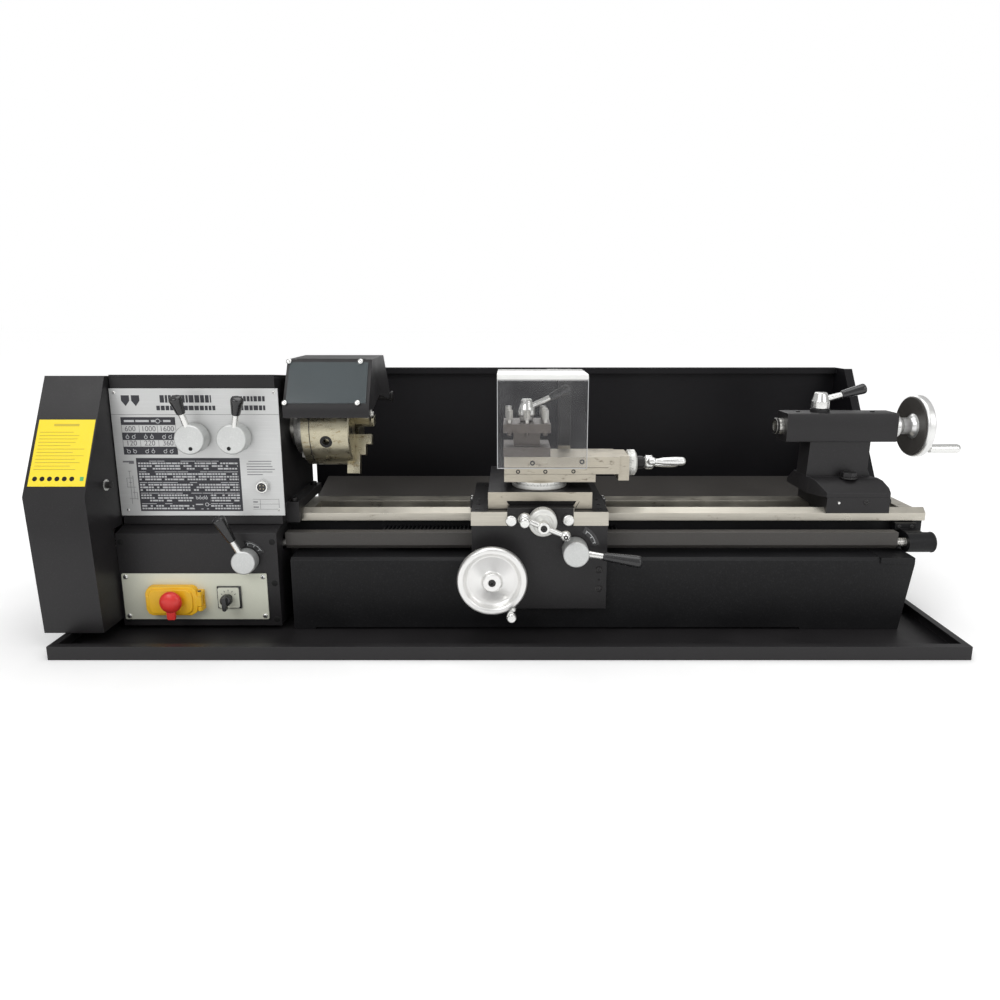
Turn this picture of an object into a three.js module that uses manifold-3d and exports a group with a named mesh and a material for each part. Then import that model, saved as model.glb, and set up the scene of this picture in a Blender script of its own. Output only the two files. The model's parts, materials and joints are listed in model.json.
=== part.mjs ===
// A bench metal-cutting lathe, about 1.4 m long, standing in its chip tray.
// Millimetres, +Z up, +X from the headstock towards the tailstock, -Y towards the operator.
// The origin is under the middle of the chip tray, on the surface it stands on.
import * as THREE from "three";
import { mergeVertices } from "three/addons/utils/BufferGeometryUtils.js";
import Module from "manifold-3d";

// ---------------------------------------------------------------- driving dimensions
const GAP = 0.3; // between pieces that touch
const SHEET = 2; // sheet metal
const TRAY = { length: 1300, depth: 480, height: 20, lip: 10 };
const CENTRE_Y = -25; // the spindle axis, over the middle of the bed
const CENTRE_Z = 301;
const SWING_RADIUS = 131; // spindle axis over the flat ways
const WAY_TOP = CENTRE_Z - SWING_RADIUS;
const WAY_RISE = 8; // height of the inverted V
const WAY_DEPTH = 12; // height of the ground front face
const BED = { left: -584, right: 657, front: -80, rear: 30, base: SHEET + GAP };
const BODY = { front: -142, rear: 50, left: -331, right: 613, ledge: 117, recess: -72, wall: 8, taper: 16 };
const HEAD = { left: -588, right: -346, front: -120, rear: 60, floor: 190, top: 391, wall: 12 };
const TOP_FALL = 16; // how far the headstock's top falls from front to rear
const COVER_SIDE = -590.4; // where the end cover meets the headstock
const SCREW = { y: -107, z: 131, radius: 6.5 }; // lead screw
const FEED = { z: 183 }; // cross-feed screw height
const CROSS_SCREW_X = 48.3;
const SADDLE = { left: -57, right: 146, front: -156, top: 192.7, bottom: 171.6 };
const APRON = { left: -56, right: 145, front: -156, back: -143.6, bottom: 42 };
const WHEEL = { x: -25, z: 101, y: -196, shaft: 39 };
const COMPOUND = { x: 46, y: -90 }; // swivel centre of the compound slide
const POST = { x: 26, side: 70 };
const QUILL_RADIUS = 13;
const JAW_ANGLES = [-75, 45, 165]; // from the operator's side, turning upwards
const RACK = { module: 2, pitchZ: 146.7, front: -98, low: 139, teethEachWay: 29 };
const GEAR_MODULE = 3;

const PAINT = { color: 0x1d1d20, roughness: 0.45, metalness: 0.1 };
const GREY_PAINT = { color: 0x3c3e42, roughness: 0.5, metalness: 0.1 };
const GROUND_STEEL = { color: 0xb9b4a6, roughness: 0.35, metalness: 0.9 };
const STEEL = { color: 0x9c9a94, roughness: 0.4, metalness: 0.9 };
const ALUMINIUM = { color: 0xc9cbcc, roughness: 0.3, metalness: 0.9 };
const CAST_IRON = { color: 0x2a2a2c, roughness: 0.6, metalness: 0.4 };
const PLASTIC = { color: 0x141414, roughness: 0.4, metalness: 0 };
const YELLOW = { color: 0xf2c200, roughness: 0.4, metalness: 0 };
const RED = { color: 0xc8141c, roughness: 0.4, metalness: 0 };
const RUBBER = { color: 0x111111, roughness: 0.8, metalness: 0 };
const CLEAR = { color: 0xe6ecec, roughness: 0.1, metalness: 0, transparent: true, opacity: 0.3 };
const SMOKED = { color: 0x5c666b, roughness: 0.1, metalness: 0, transparent: true, opacity: 0.45 };

// ---------------------------------------------------------------- shaping tools
const wasm = await Module();
wasm.setup();

/** A closed three.js geometry as a solid that can be joined and cut. */
function solid(geometry) {
  const bare = geometry.clone();
  for (const name of Object.keys(bare.attributes)) {
    if (name !== "position") bare.deleteAttribute(name);
  }
  const merged = mergeVertices(bare, 1e-4);
  const faces = [];
  for (let i = 0; i < merged.index.count; i += 3) {
    const [a, b, c] = [0, 1, 2].map((k) => merged.index.getX(i + k));
    if (a !== b && b !== c && c !== a) faces.push(a, b, c);
  }
  const build = (triangles) =>
    new wasm.Manifold(
      new wasm.Mesh({
        numProp: 3,
        vertProperties: merged.attributes.position.array,
        triVerts: new Uint32Array(triangles),
      }),
    );
  const made = build(faces);
  return made.volume() < 0 ? build(faces.reverse()) : made;
}

const join = (first, ...rest) => rest.reduce((all, s) => all.add(s), first);
const cut = (first, ...rest) => rest.reduce((all, s) => all.subtract(s), first);

/** A box from its two corners. */
function block(x0, x1, y0, y1, z0, z1) {
  const geometry = new THREE.BoxGeometry(x1 - x0, y1 - y0, z1 - z0);
  return solid(geometry.translate((x0 + x1) / 2, (y0 + y1) / 2, (z0 + z1) / 2));
}

/** Turns a geometry built along +Y so that it lies along the axis, centred on the other two coordinates. */
function along(axis, geometry, centre) {
  const [u, v] = centre;
  if (axis === "x") return geometry.rotateZ(-Math.PI / 2).translate(0, u, v);
  if (axis === "z") return geometry.rotateX(Math.PI / 2).translate(u, v, 0);
  return geometry.translate(u, 0, v);
}

/** A round bar or cone along an axis, from one end to the other. */
function rod(axis, from, to, radius, centre = [0, 0], sides = 24, farRadius = radius) {
  const geometry = new THREE.CylinderGeometry(farRadius, radius, to - from, sides);
  return solid(along(axis, geometry.translate(0, (from + to) / 2, 0), centre));
}

/** A turned piece: outline points are [place along the axis, radius], from the axis back to the axis. */
function turned(axis, outline, centre = [0, 0], sides = 32) {
  const points = outline.map(([place, radius]) => new THREE.Vector2(radius, place));
  return solid(along(axis, new THREE.LatheGeometry(points, sides), centre));
}

/** A ring or tube along an axis. */
function ring(axis, from, to, outer, inner, centre = [0, 0], sides = 32) {
  const outline = [[from, inner], [from, outer], [to, outer], [to, inner], [from, inner]];
  return turned(axis, outline, centre, sides);
}

const outlineOf = (points) => new THREE.Shape(points.map(([a, b]) => new THREE.Vector2(a, b)));

/** A flat outline pushed along an axis. X takes [y, z] points, Y takes [x, z] and Z takes [x, y]. */
function pushed(axis, outline, from, to, steps = 8) {
  const shape = Array.isArray(outline) ? outlineOf(outline) : outline;
  const depth = to - from;
  const geometry = new THREE.ExtrudeGeometry(shape, { depth, bevelEnabled: false, curveSegments: steps });
  if (axis === "x") {
    const cycle = new THREE.Matrix4().set(0, 0, 1, from, 1, 0, 0, 0, 0, 1, 0, 0, 0, 0, 0, 1);
    return solid(geometry.applyMatrix4(cycle));
  }
  if (axis === "y") return solid(geometry.rotateX(Math.PI / 2).translate(0, to, 0));
  return solid(geometry.translate(0, 0, from));
}

/** A rectangle with round corners, as an outline. */
function roundRectangle(a0, a1, b0, b1, radius) {
  const shape = new THREE.Shape();
  shape.moveTo(a0 + radius, b0);
  shape.lineTo(a1 - radius, b0);
  shape.absarc(a1 - radius, b0 + radius, radius, -Math.PI / 2, 0);
  shape.lineTo(a1, b1 - radius);
  shape.absarc(a1 - radius, b1 - radius, radius, 0, Math.PI / 2);
  shape.lineTo(a0 + radius, b1);
  shape.absarc(a0 + radius, b1 - radius, radius, Math.PI / 2, Math.PI);
  shape.lineTo(a0, b0 + radius);
  shape.absarc(a0 + radius, b0 + radius, radius, Math.PI, Math.PI * 1.5);
  return shape;
}

/** A spur gear along X with straight-sided teeth and a bore. */
function gear(teeth, module, from, to, bore, phase = 0) {
  const pitch = (teeth * module) / 2;
  const shares = [[-0.3, -1.1], [-0.15, 0.9], [0.15, 0.9], [0.3, -1.1]];
  const outline = [];
  for (let i = 0; i < teeth; i++) {
    for (const [share, height] of shares) {
      const angle = ((i + share + phase) / teeth) * 2 * Math.PI;
      const radius = pitch + height * module;
      outline.push([radius * Math.cos(angle), radius * Math.sin(angle)]);
    }
  }
  return cut(pushed("x", outline, from, to), rod("x", from - 1, to + 1, bore, [0, 0], 24));
}

/** The phase that puts a gear's tooth, or the gap after it, on the line towards another gear. */
function phaseTowards(teeth, from, to, gapFirst) {
  const angle = Math.atan2(to[1] - from[1], to[0] - from[0]);
  return (angle * teeth) / (2 * Math.PI) - (gapFirst ? 0.5 : 0);
}

/** A straight round arm with a grip: [distance along +Z, radius] stations from the hub centre. */
function arm(stations, sides = 14) {
  const last = stations[stations.length - 1][0];
  return turned("z", [[stations[0][0], 0], ...stations, [last, 0]], [0, 0], sides);
}

/** A named mesh of a solid. */
function mesh(name, made, finish) {
  const { numProp, vertProperties, triVerts } = made.getMesh();
  const points = new Float32Array((vertProperties.length / numProp) * 3);
  for (let i = 0; i < points.length / 3; i++) {
    points.set(vertProperties.subarray(i * numProp, i * numProp + 3), i * 3);
  }
  const geometry = new THREE.BufferGeometry();
  geometry.setAttribute("position", new THREE.BufferAttribute(points, 3));
  geometry.setIndex(new THREE.BufferAttribute(new Uint32Array(triVerts), 1));
  geometry.computeVertexNormals();
  const part = new THREE.Mesh(geometry, new THREE.MeshStandardMaterial(finish));
  part.name = name;
  return part;
}

/** A group placed at a point that holds the given objects. */
function assembly(x, y, z, ...parts) {
  const group = new THREE.Group();
  group.position.set(x, y, z);
  group.add(...parts);
  return group;
}

// ---------------------------------------------------------------- tray, bed and rear guard
function chipTray() {
  const x = TRAY.length / 2;
  const y = TRAY.depth / 2;
  const hollow = block(-x + SHEET, x - SHEET, -y + SHEET, y - SHEET, SHEET, TRAY.height - SHEET);
  const mouth = block(-x + TRAY.lip, x - TRAY.lip, -y + TRAY.lip, y - TRAY.lip, SHEET, TRAY.height + 1);
  return mesh("chip_tray", cut(block(-x, x, -y, y, 0, TRAY.height), hollow, mouth), PAINT);
}

function bed() {
  const { front, rear, left, right } = BED;
  const under = WAY_TOP - WAY_DEPTH;
  const waySection = [
    [BODY.recess, BODY.ledge - 10],
    [BODY.recess, under],
    [front, under],
    [front, WAY_TOP],
    [front + WAY_RISE, WAY_TOP + WAY_RISE],
    [front + 2 * WAY_RISE, WAY_TOP],
    [rear, WAY_TOP],
    [rear, under],
    [rear - 8, under],
    [rear - 8, BODY.ledge - 10],
  ];
  const bodySection = [
    [BODY.front, BED.base + 3],
    [BODY.front, BODY.ledge - 4],
    [BODY.front + 5, BODY.ledge],
    [BODY.rear - 5, BODY.ledge],
    [BODY.rear, BODY.ledge - 4],
    [BODY.rear, BED.base + 3],
  ];
  const { wall } = BODY;
  let made = join(
    pushed("x", waySection, left, right),
    pushed("x", bodySection, BODY.left, BODY.right),
    block(left, BODY.left, BODY.recess, BODY.rear, BED.base, BODY.ledge),
    block(BODY.left, BODY.left + 32, BODY.front, BODY.rear, BED.base, BED.base + 20),
    block(446, BODY.right, BODY.front, BODY.rear, BED.base, BED.base + 20),
    block(560, 611, BODY.front - 3, BODY.recess, BODY.ledge - 8, BODY.ledge + 1),
  );
  const underside = block(BODY.left + wall, BODY.right - BODY.taper - wall, BODY.front + wall,
    BODY.rear - wall, BED.base - 1, BODY.ledge - 2 * wall);
  const slantedEnd = pushed("y", [
    [BODY.right - BODY.taper, BED.base - 1], [BODY.right, BODY.ledge - 10],
    [BODY.right + 9, BODY.ledge - 10], [BODY.right + 9, BED.base - 1],
  ], BODY.front - 5, BODY.rear + 5);
  const headUnderside = block(left + wall, BODY.left - wall, BODY.recess + wall, BODY.rear - wall,
    BED.base - 1, BODY.ledge - 2 * wall);
  made = cut(made, slantedEnd, underside, headUnderside);
  const slotLeft = -318;
  const slotRight = right - 22;
  const windows = 5;
  const pitch = (slotRight - slotLeft) / windows;
  made = cut(made,
    block(slotLeft, slotRight, front + 32, rear - 32, WAY_TOP - WAY_DEPTH, WAY_TOP + 20),
    block(slotLeft, slotRight, front + 18, rear - 18, WAY_TOP - 30, WAY_TOP - WAY_DEPTH));
  for (let i = 0; i < windows; i++) {
    const x = slotLeft + i * pitch;
    made = cut(made, block(x, x + pitch - 22, front + 32, rear - 32, BODY.ledge - 3 * wall, WAY_TOP - 29));
  }
  return mesh("bed", made, GROUND_STEEL);
}

function splashGuard() {
  const back = TRAY.depth / 2 - 10;
  const foot = SHEET + GAP;
  const top = 378;
  const side = 632;
  const left = -385;
  const sidePlate = (inset) => [
    [back, foot], [back, top], [back - 45 + inset, top], [back - 168 + inset, 195],
    [back - 168 + inset, foot],
  ];
  const panel = block(left, side, back - SHEET, back, foot, top);
  const cap = block(left, side, back - 15, back, top - SHEET, top);
  const hem = block(left, side, back - 15, back - 15 + SHEET, top - 11, top);
  const edge = cut(pushed("x", sidePlate(0), side - SHEET, side + 13),
    pushed("x", sidePlate(SHEET), side, side + 14),
    block(side + 5, side + 14, 0, back, 0, TRAY.height + 1));
  return mesh("splash_guard", join(panel, cap, hem, edge), PAINT);
}

function chipDeflector() {
  const y = TRAY.depth / 2 - 10 - SHEET - GAP;
  const section = [[y, 138], [y, 162], [58, 122], [58, 120], [y - SHEET, 159.4], [y - SHEET, 138]];
  return mesh("chip_deflector", pushed("x", section, -362, 578), GREY_PAINT);
}

// ---------------------------------------------------------------- headstock
const INPUT = { y: 18, z: 247 }; // gearbox input shaft
const MOTOR = { y: 112, z: 120, radius: 48 }; // behind the headstock

function headstock() {
  const { left, right, front, rear, floor, top, wall } = HEAD;
  const low = WAY_TOP - 6;
  const deck = WAY_TOP + WAY_RISE + GAP;
  const section = [
    [front, low], [front, top - 4.3], [rear, top - TOP_FALL - 4.3], [rear, deck],
    [BED.front - 4, deck], [BED.front - 4, low],
  ];
  const casting = cut(
    join(
      pushed("x", section, left, right),
      block(right - 1, right + 19, front + 23, rear - 20, deck, deck + 14),
      block(right - 1, right + 19, front + 23, BED.front - 4, low - 4, deck + 14),
      idlerStud(),
    ),
    block(left + wall, right - wall, front + wall, rear - wall, floor, top),
    rod("x", left - 1, left + wall + 1, 25, [CENTRE_Y, CENTRE_Z], 24),
    rod("x", right - wall - 1, right + 1, 32, [CENTRE_Y, CENTRE_Z], 24),
    rod("x", left - 1, left + wall + 1, 9, [INPUT.y, INPUT.z], 16),
    rod("x", right - wall - 1, right - 6, 9, [INPUT.y, INPUT.z], 16),
    ...speedShaftHoles(),
  );
  const lid = pushed("x", [
    [front, top - 4], [front, top], [rear, top - TOP_FALL], [rear, top - TOP_FALL - 4],
  ], left, right);
  return [mesh("headstock_casting", casting, PAINT), mesh("headstock_top_cover", lid, PAINT)];
}

/** The stud in the casting's left wall that the change gear idler turns on. */
function idlerStud() {
  const centre = [TRAIN.y, TRAIN.z];
  return join(rod("x", TRAIN.from - 5, HEAD.left + 1, 6, centre, 16),
    rod("x", TRAIN.from - 5, TRAIN.from - 1, 10, centre, 16),
    rod("x", TRAIN.to + 1, HEAD.left + 1, 10, centre, 16));
}

const SPEED_KNOBS = { xs: [-466, -404.5], z: 299, radius: 22 };
const speedShaftHoles = () =>
  SPEED_KNOBS.xs.map((x) => rod("y", HEAD.front - 1, HEAD.front + HEAD.wall + 1, 7, [x, SPEED_KNOBS.z], 16));

function controlPanel() {
  const y = HEAD.front - GAP;
  const plate = block(-589, -341, y - SHEET, y, 178, 371);
  const holes = SPEED_KNOBS.xs.map((x) => rod("y", y - 5, y + 1, 8, [x, SPEED_KNOBS.z], 16));
  const socket = rod("y", y - SHEET - 5, y - 1, 11, [-371.5, 223.5], 6);
  const pinHole = rod("y", y - SHEET - 6, y - 3, 7, [-371.5, 223.5], 16);
  return mesh("control_panel", cut(join(cut(plate, ...holes), socket), pinHole), ALUMINIUM);
}

const BOX = { left: -590, right: -349, front: -145, bottom: 10, top: 156, rear: -73 };
const FEED_LEVER = { x: -394, z: 117, radius: 18 };

function controlBox() {
  const { left, right, front, rear, bottom, top } = BOX;
  const section = [[front, bottom], [front, top], [HEAD.front, top + 7],
    [BED.front - 4, top + 7], [BED.front - 4, top - 6], [rear, top - 6], [rear, bottom]];
  let made = cut(pushed("x", section, left, right),
    block(left + 3, right - 3, front + 3, rear + 1, bottom + 3, top - 3));
  for (const x of [left + 7, right - 7]) {
    for (const z of [20, 78, 143]) {
      made = cut(made, rod("y", front - 1, front + 2, 4, [x, z], 12));
    }
  }
  return mesh("control_box", cut(made, rod("y", front - 1, front + 4, 6, [FEED_LEVER.x, FEED_LEVER.z], 16),
    rod("y", front - 1, front + 4, 6, [-425, 57], 16),
    rod("x", right - 4, right + 1, 12, [SCREW.y, SCREW.z], 20),
    rod("x", left - 1, left + 4, 12, [SCREW.y, SCREW.z], 20)), PAINT);
}

function switchPlate() {
  const y = BOX.front - GAP;
  const plate = pushed("y", roundRectangle(-586, -367, 21, 94, 2), y - SHEET, y, 2);
  const bezel = pushed("y", roundRectangle(-441, -409, 41, 73, 3), y - SHEET - 4, y - 1, 2);
  return mesh("switch_plate", cut(join(plate, bezel), rod("y", y - 7, y + 1, 6, [-425, 57], 16)), ALUMINIUM);
}

// ---------------------------------------------------------------- end cover
const COVER = { left: -677, top: 390, bottom: 22.5, rear: 150, nose: -209, skin: 3 };
const COVER_HINGE = { x: COVER_SIDE - 5, y: COVER.rear + 4, radius: 5 };

/** The end cover's outline, drawn in from its outside by an inset. */
const coverOutline = (inset) => [
  [COVER.rear - inset, COVER.bottom + inset],
  [COVER.rear - inset, COVER.top - 24 - inset],
  [-127 + inset, COVER.top - inset],
  [COVER.nose + inset, 228],
  [COVER.nose + 9 + inset, COVER.bottom + inset],
];

function endCover() {
  const { left, skin } = COVER;
  const shell = cut(pushed("x", coverOutline(0), left, COVER_SIDE),
    pushed("x", coverOutline(skin), left + skin, COVER_SIDE - skin),
    block(COVER_SIDE - skin - 1, COVER_SIDE + 1, HEAD.front - GAP, COVER.rear - skin, COVER.bottom + skin,
      COVER.top - 27),
    block(COVER_SIDE - skin - 1, COVER_SIDE + 1, BOX.front - GAP, COVER.rear - skin, COVER.bottom + skin,
      WAY_TOP - 6));
  const barrels = [60, 190, 320].map((z) =>
    rod("z", z, z + 30, COVER_HINGE.radius, [COVER_HINGE.x, COVER_HINGE.y], 12));
  return mesh("gear_cover", join(shell, ...barrels), PAINT);
}

/** The plate behind the headstock that carries the motor and the end cover's hinge. */
function motorPlate() {
  const plate = block(COVER_SIDE + GAP, COVER_SIDE + 4.4, HEAD.rear + GAP, COVER.rear + 3, 25, 350);
  const shaftHole = rod("x", COVER_SIDE - 1, COVER_SIDE + 6, 14, [MOTOR.y, MOTOR.z], 20);
  const knuckles = [91, 221].map((z) => join(
    block(COVER_HINGE.x, COVER_SIDE + 4.4, COVER.rear + 0.6, COVER.rear + 7, z, z + 98),
    rod("z", z, z + 98, COVER_HINGE.radius - 1.4, [COVER_HINGE.x, COVER_HINGE.y], 12),
  ));
  return mesh("motor_plate", join(cut(plate, shaftHole), ...knuckles), PAINT);
}

// ---------------------------------------------------------------- spindle and drive
const SPINDLE_TEETH = 32;
const INPUT_TEETH = 14;
const TRAIN = { from: -640, to: -632, driver: 20, idler: 48, screw: 20, y: -31, z: 199.1 };
const AXES = {
  spindle: [CENTRE_Y, CENTRE_Z],
  input: [INPUT.y, INPUT.z],
  idler: [TRAIN.y, TRAIN.z],
  screw: [SCREW.y, SCREW.z],
};
const PULLEY = { from: -628, to: -612, input: 42, motor: 24 };

/** How far past a tooth centre the idler stands on the line to a neighbour, as a share of the pitch. */
function idlerShare(neighbour) {
  const toNeighbour = phaseTowards(TRAIN.idler, AXES.idler, neighbour, false);
  return toNeighbour - Math.floor(toNeighbour);
}

/** A round belt pulley with a rim on each side, along X. */
function pulley(radius, bore) {
  const { from, to } = PULLEY;
  return turned("x", [
    [from, bore], [from, radius + 2], [from + 2, radius + 2], [from + 2, radius], [to - 2, radius],
    [to - 2, radius + 2], [to, radius + 2], [to, bore], [from, bore],
  ], [0, 0], 24);
}

function spindle() {
  const radius = 20;
  const shaft = cut(
    join(rod("x", -650, -335, radius, [0, 0], 24), rod("x", -337, -321.3, 44, [0, 0], 24)),
    rod("x", -652, -300, 13, [0, 0], 18),
  );
  const fitted = gear(SPINDLE_TEETH, GEAR_MODULE, -480, -462, radius + GAP,
    phaseTowards(SPINDLE_TEETH, AXES.spindle, AXES.input, false));
  const driver = gear(TRAIN.driver, GEAR_MODULE, TRAIN.from, TRAIN.to, radius + GAP,
    phaseTowards(TRAIN.driver, AXES.spindle, AXES.idler, true) + idlerShare(AXES.spindle));
  return assembly(0, CENTRE_Y, CENTRE_Z,
    mesh("spindle", shaft, STEEL),
    mesh("spindle_gear", fitted, STEEL),
    mesh("change_gear_driver", driver, STEEL),
    mesh("spindle_bearing_rear", ring("x", -588, -577, 25 - GAP, radius + GAP, [0, 0], 22), STEEL),
    mesh("spindle_bearing_front", ring("x", -357, -347, 32 - GAP, radius + GAP, [0, 0], 22), STEEL),
    ...chuck());
}

/** The three-jaw chuck on the spindle's nose, with its jaws at JAW_ANGLES. */
function chuck() {
  const face = -247;
  const back = -307.7;
  const radius = 62.5;
  const plate = ring("x", -321, -308, 62, 18, [0, 0], 28);
  const lean = (made, angle) => made.rotate([90 - angle, 0, 0]);
  const jawOutline = [
    [face - 13, 14], [face + 25, 14], [face + 25, 30], [face + 16, 30], [face + 16, 47],
    [face + 7, 47], [face + 7, 77], [face - 13, 77],
  ];
  let body = turned("x", [
    [back, 17], [back, radius], [face - 2, radius], [face, radius - 2], [face, 17], [back, 17],
  ], [0, 0], 28);
  const jaws = [];
  JAW_ANGLES.forEach((angle, i) => {
    body = cut(body,
      lean(block(face - 14, face + 1, -7.4, 7.4, 5, radius + 2), angle),
      lean(rod("z", radius - 9, radius + 1, 7.5, [-283, 0], 14), angle + 60));
    jaws.push(mesh(`chuck_jaw_${i + 1}`, lean(pushed("y", jawOutline, -7, 7), angle), STEEL));
  });
  return [mesh("chuck_backplate", plate, STEEL), mesh("chuck_body", body, STEEL), ...jaws];
}

function driveTrain() {
  const input = join(
    rod("x", -630, HEAD.right - 7, 8, [0, 0], 16),
    gear(INPUT_TEETH, GEAR_MODULE, -480, -462, 7,
      phaseTowards(INPUT_TEETH, AXES.input, AXES.spindle, true)),
    pulley(PULLEY.input, 7),
  );
  const motorShaft = join(rod("x", -630, -575, 8, [0, 0], 16), pulley(PULLEY.motor, 7));
  const idler = gear(TRAIN.idler, GEAR_MODULE, TRAIN.from, TRAIN.to, 6 + GAP);
  return [
    assembly(0, INPUT.y, INPUT.z, mesh("input_shaft", input, STEEL)),
    assembly(0, MOTOR.y, MOTOR.z, mesh("motor_pulley", motorShaft, STEEL)),
    assembly(0, TRAIN.y, TRAIN.z, mesh("change_gear_idler", idler, STEEL)),
    mesh("drive_belt", driveBelt(), RUBBER),
  ];
}

/** The flat belt round both pulleys: an outline of two arcs and the straight runs between them. */
function driveBelt() {
  const span = new THREE.Vector2(MOTOR.y - INPUT.y, MOTOR.z - INPUT.z);
  const lean = Math.acos((PULLEY.input - PULLEY.motor) / span.length());
  const heading = span.angle();
  const loop = (offset) => {
    const shape = new THREE.Path();
    const [big, small] = [PULLEY.input + offset, PULLEY.motor + offset];
    shape.absarc(INPUT.y, INPUT.z, big, heading + lean, heading - lean + 2 * Math.PI);
    shape.absarc(MOTOR.y, MOTOR.z, small, heading - lean, heading + lean);
    return shape.getPoints(14);
  };
  const band = new THREE.Shape(loop(4));
  band.holes.push(new THREE.Path(loop(GAP)));
  return pushed("x", band, PULLEY.from + 2.5, PULLEY.to - 2.5);
}

function motor() {
  const { y, z, radius } = MOTOR;
  const shell = join(
    rod("x", -578, -400, radius, [y, z], 28),
    block(-585.7, -577, y - 38, y + 38, z - 38, z + 38),
    block(-530, -440, y + 20, y + radius + 22, z - 30, z + 30),
  );
  const bore = rod("x", -590, -572, 10, [y, z], 16);
  return mesh("motor_housing", cut(shell, bore), CAST_IRON);
}

function leadScrewParts() {
  const { y, z, radius } = SCREW;
  const driven = gear(TRAIN.screw, GEAR_MODULE, TRAIN.from, TRAIN.to, radius - 1,
    phaseTowards(TRAIN.screw, AXES.screw, AXES.idler, true) + idlerShare(AXES.screw));
  const screw = join(rod("x", TRAIN.from - 2, 640, radius, [0, 0], 16), driven);
  const guardSection = [
    [y - 9, 129], [y - 9, 149], [y + 7, 149], [y + 7, 147.8], [y - 7.8, 147.8], [y - 7.8, 129.5],
    [y - 3, 123.4], [y - 3.9, 122.6],
  ];
  const bracket = cut(
    join(
      rod("x", BODY.right + 0.5, 655, 15.5, [y, z], 22),
      block(607, 640, -88, BODY.recess - GAP, 145, 156),
      block(607, 640, -88, BODY.recess - GAP, 119, 128),
      block(614, 640, y, BODY.recess - GAP, 120, 147),
    ),
    rod("x", 600, 645, radius + GAP, [y, z], 20),
  );
  return [
    assembly(0, y, z, mesh("lead_screw", screw, GROUND_STEEL)),
    mesh("lead_screw_guard", pushed("x", guardSection, -345, 598), GREY_PAINT),
    mesh("lead_screw_bracket", bracket, CAST_IRON),
    mesh("feed_rack", feedRack(), STEEL),
  ];
}

/** The toothed rack on the bed's recessed face, teeth up, with a tooth under the pinion. */
function feedRack() {
  const { module, pitchZ, front, low, teethEachWay } = RACK;
  const pitch = Math.PI * module;
  const [root, tip] = [pitchZ - 1.1 * module, pitchZ + 0.9 * module];
  const left = RACK_PINION.x - (teethEachWay + 0.5) * pitch;
  const teeth = 2 * teethEachWay + 1;
  const outline = [[left, low], [left, root]];
  for (let i = 0; i < teeth; i++) {
    const x = left + i * pitch;
    outline.push([x + 0.2 * pitch, root], [x + 0.35 * pitch, tip], [x + 0.65 * pitch, tip]);
    outline.push([x + 0.8 * pitch, root]);
  }
  outline.push([left + teeth * pitch, root], [left + teeth * pitch, low]);
  return pushed("y", outline, front, BODY.recess - GAP);
}

// ---------------------------------------------------------------- chuck guard
const GUARD = { left: -336, right: -208, pivotY: 69, pivotZ: 339 };

function chuckGuard() {
  const { left, right, pivotY, pivotZ } = GUARD;
  const outer = [[-80, 411], [-120, 343], [-120, 327], [-117, 327], [-117, 341], [-78, 408.6],
    [15, 410], [pivotY - 4, pivotZ + 6], [pivotY + 4, pivotZ + 8], [18, 412.5]];
  const sideOutline = [[-80, 411], [-120, 343], [-120, 327], [-30, 352], [pivotY, pivotZ - 5],
    [pivotY + 4, pivotZ + 8], [18, 412.5]];
  const window = pushed("x", [[-74, 418], [-128, 326], [-90, 322], [-60, 402]], left + 11, right - 11);
  const frame = cut(
    join(
      pushed("x", outer, left, right),
      pushed("x", sideOutline, left, left + SHEET),
      pushed("x", sideOutline, right - SHEET, right),
      rod("x", HEAD.right + 3, right + 3, 7, [pivotY, pivotZ], 16),
    ),
    cut(window, block(left, right, -130, 100, 300, 350)),
  );
  const { x: depth, y: rise } = new THREE.Vector2(-40, -68).normalize();
  const off = (along1, out) => [-80 + depth * along1 + rise * out, 411 + rise * along1 - depth * out];
  const pane = pushed("x", [off(6, GAP), off(6, 3), off(73, 3), off(73, GAP)], left + 5, right - 5);
  return [mesh("chuck_guard", frame, PAINT), mesh("guard_window", pane, SMOKED)];
}

// ---------------------------------------------------------------- headstock controls
function speedLever(name, x, lean) {
  const { z, radius } = SPEED_KNOBS;
  const hub = turned("y", [[-27, 0], [-27, radius - 1.5], [-25.5, radius], [-2, radius], [-2, 6], [20, 6],
    [20, 0]], [0, 0], 22);
  const lever = arm([[12, 5.5], [30, 4.5], [42, 4.5], [42, 6.5], [66, 9], [69, 7.5]]);
  const tilted = lever.rotate([18, 0, 0]).translate([0, -16, 0]).rotate([0, lean, 0]);
  return assembly(x, HEAD.front - GAP - SHEET, z, mesh(name, join(hub, tilted), ALUMINIUM));
}

function feedLever() {
  const { x, z, radius } = FEED_LEVER;
  const hub = turned("y", [[-22, 0], [-22, radius - 2], [-20, radius], [-1, radius], [-1, 5.5], [18, 5.5],
    [18, 0]], [0, 0], 22);
  const lever = arm([[10, 5], [38, 4.2], [38, 6], [78, 9], [81, 7.5]]);
  const tilted = lever.rotate([14, 0, 0]).translate([0, -12, 0]).rotate([0, -21, 0]);
  return assembly(x, BOX.front, z, mesh("feed_lever", join(hub, tilted), ALUMINIUM));
}

const E_STOP = { left: -547, right: -472, low: 32, high: 77, pinX: -466, buttonX: -504, buttonZ: 57.5 };

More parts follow.
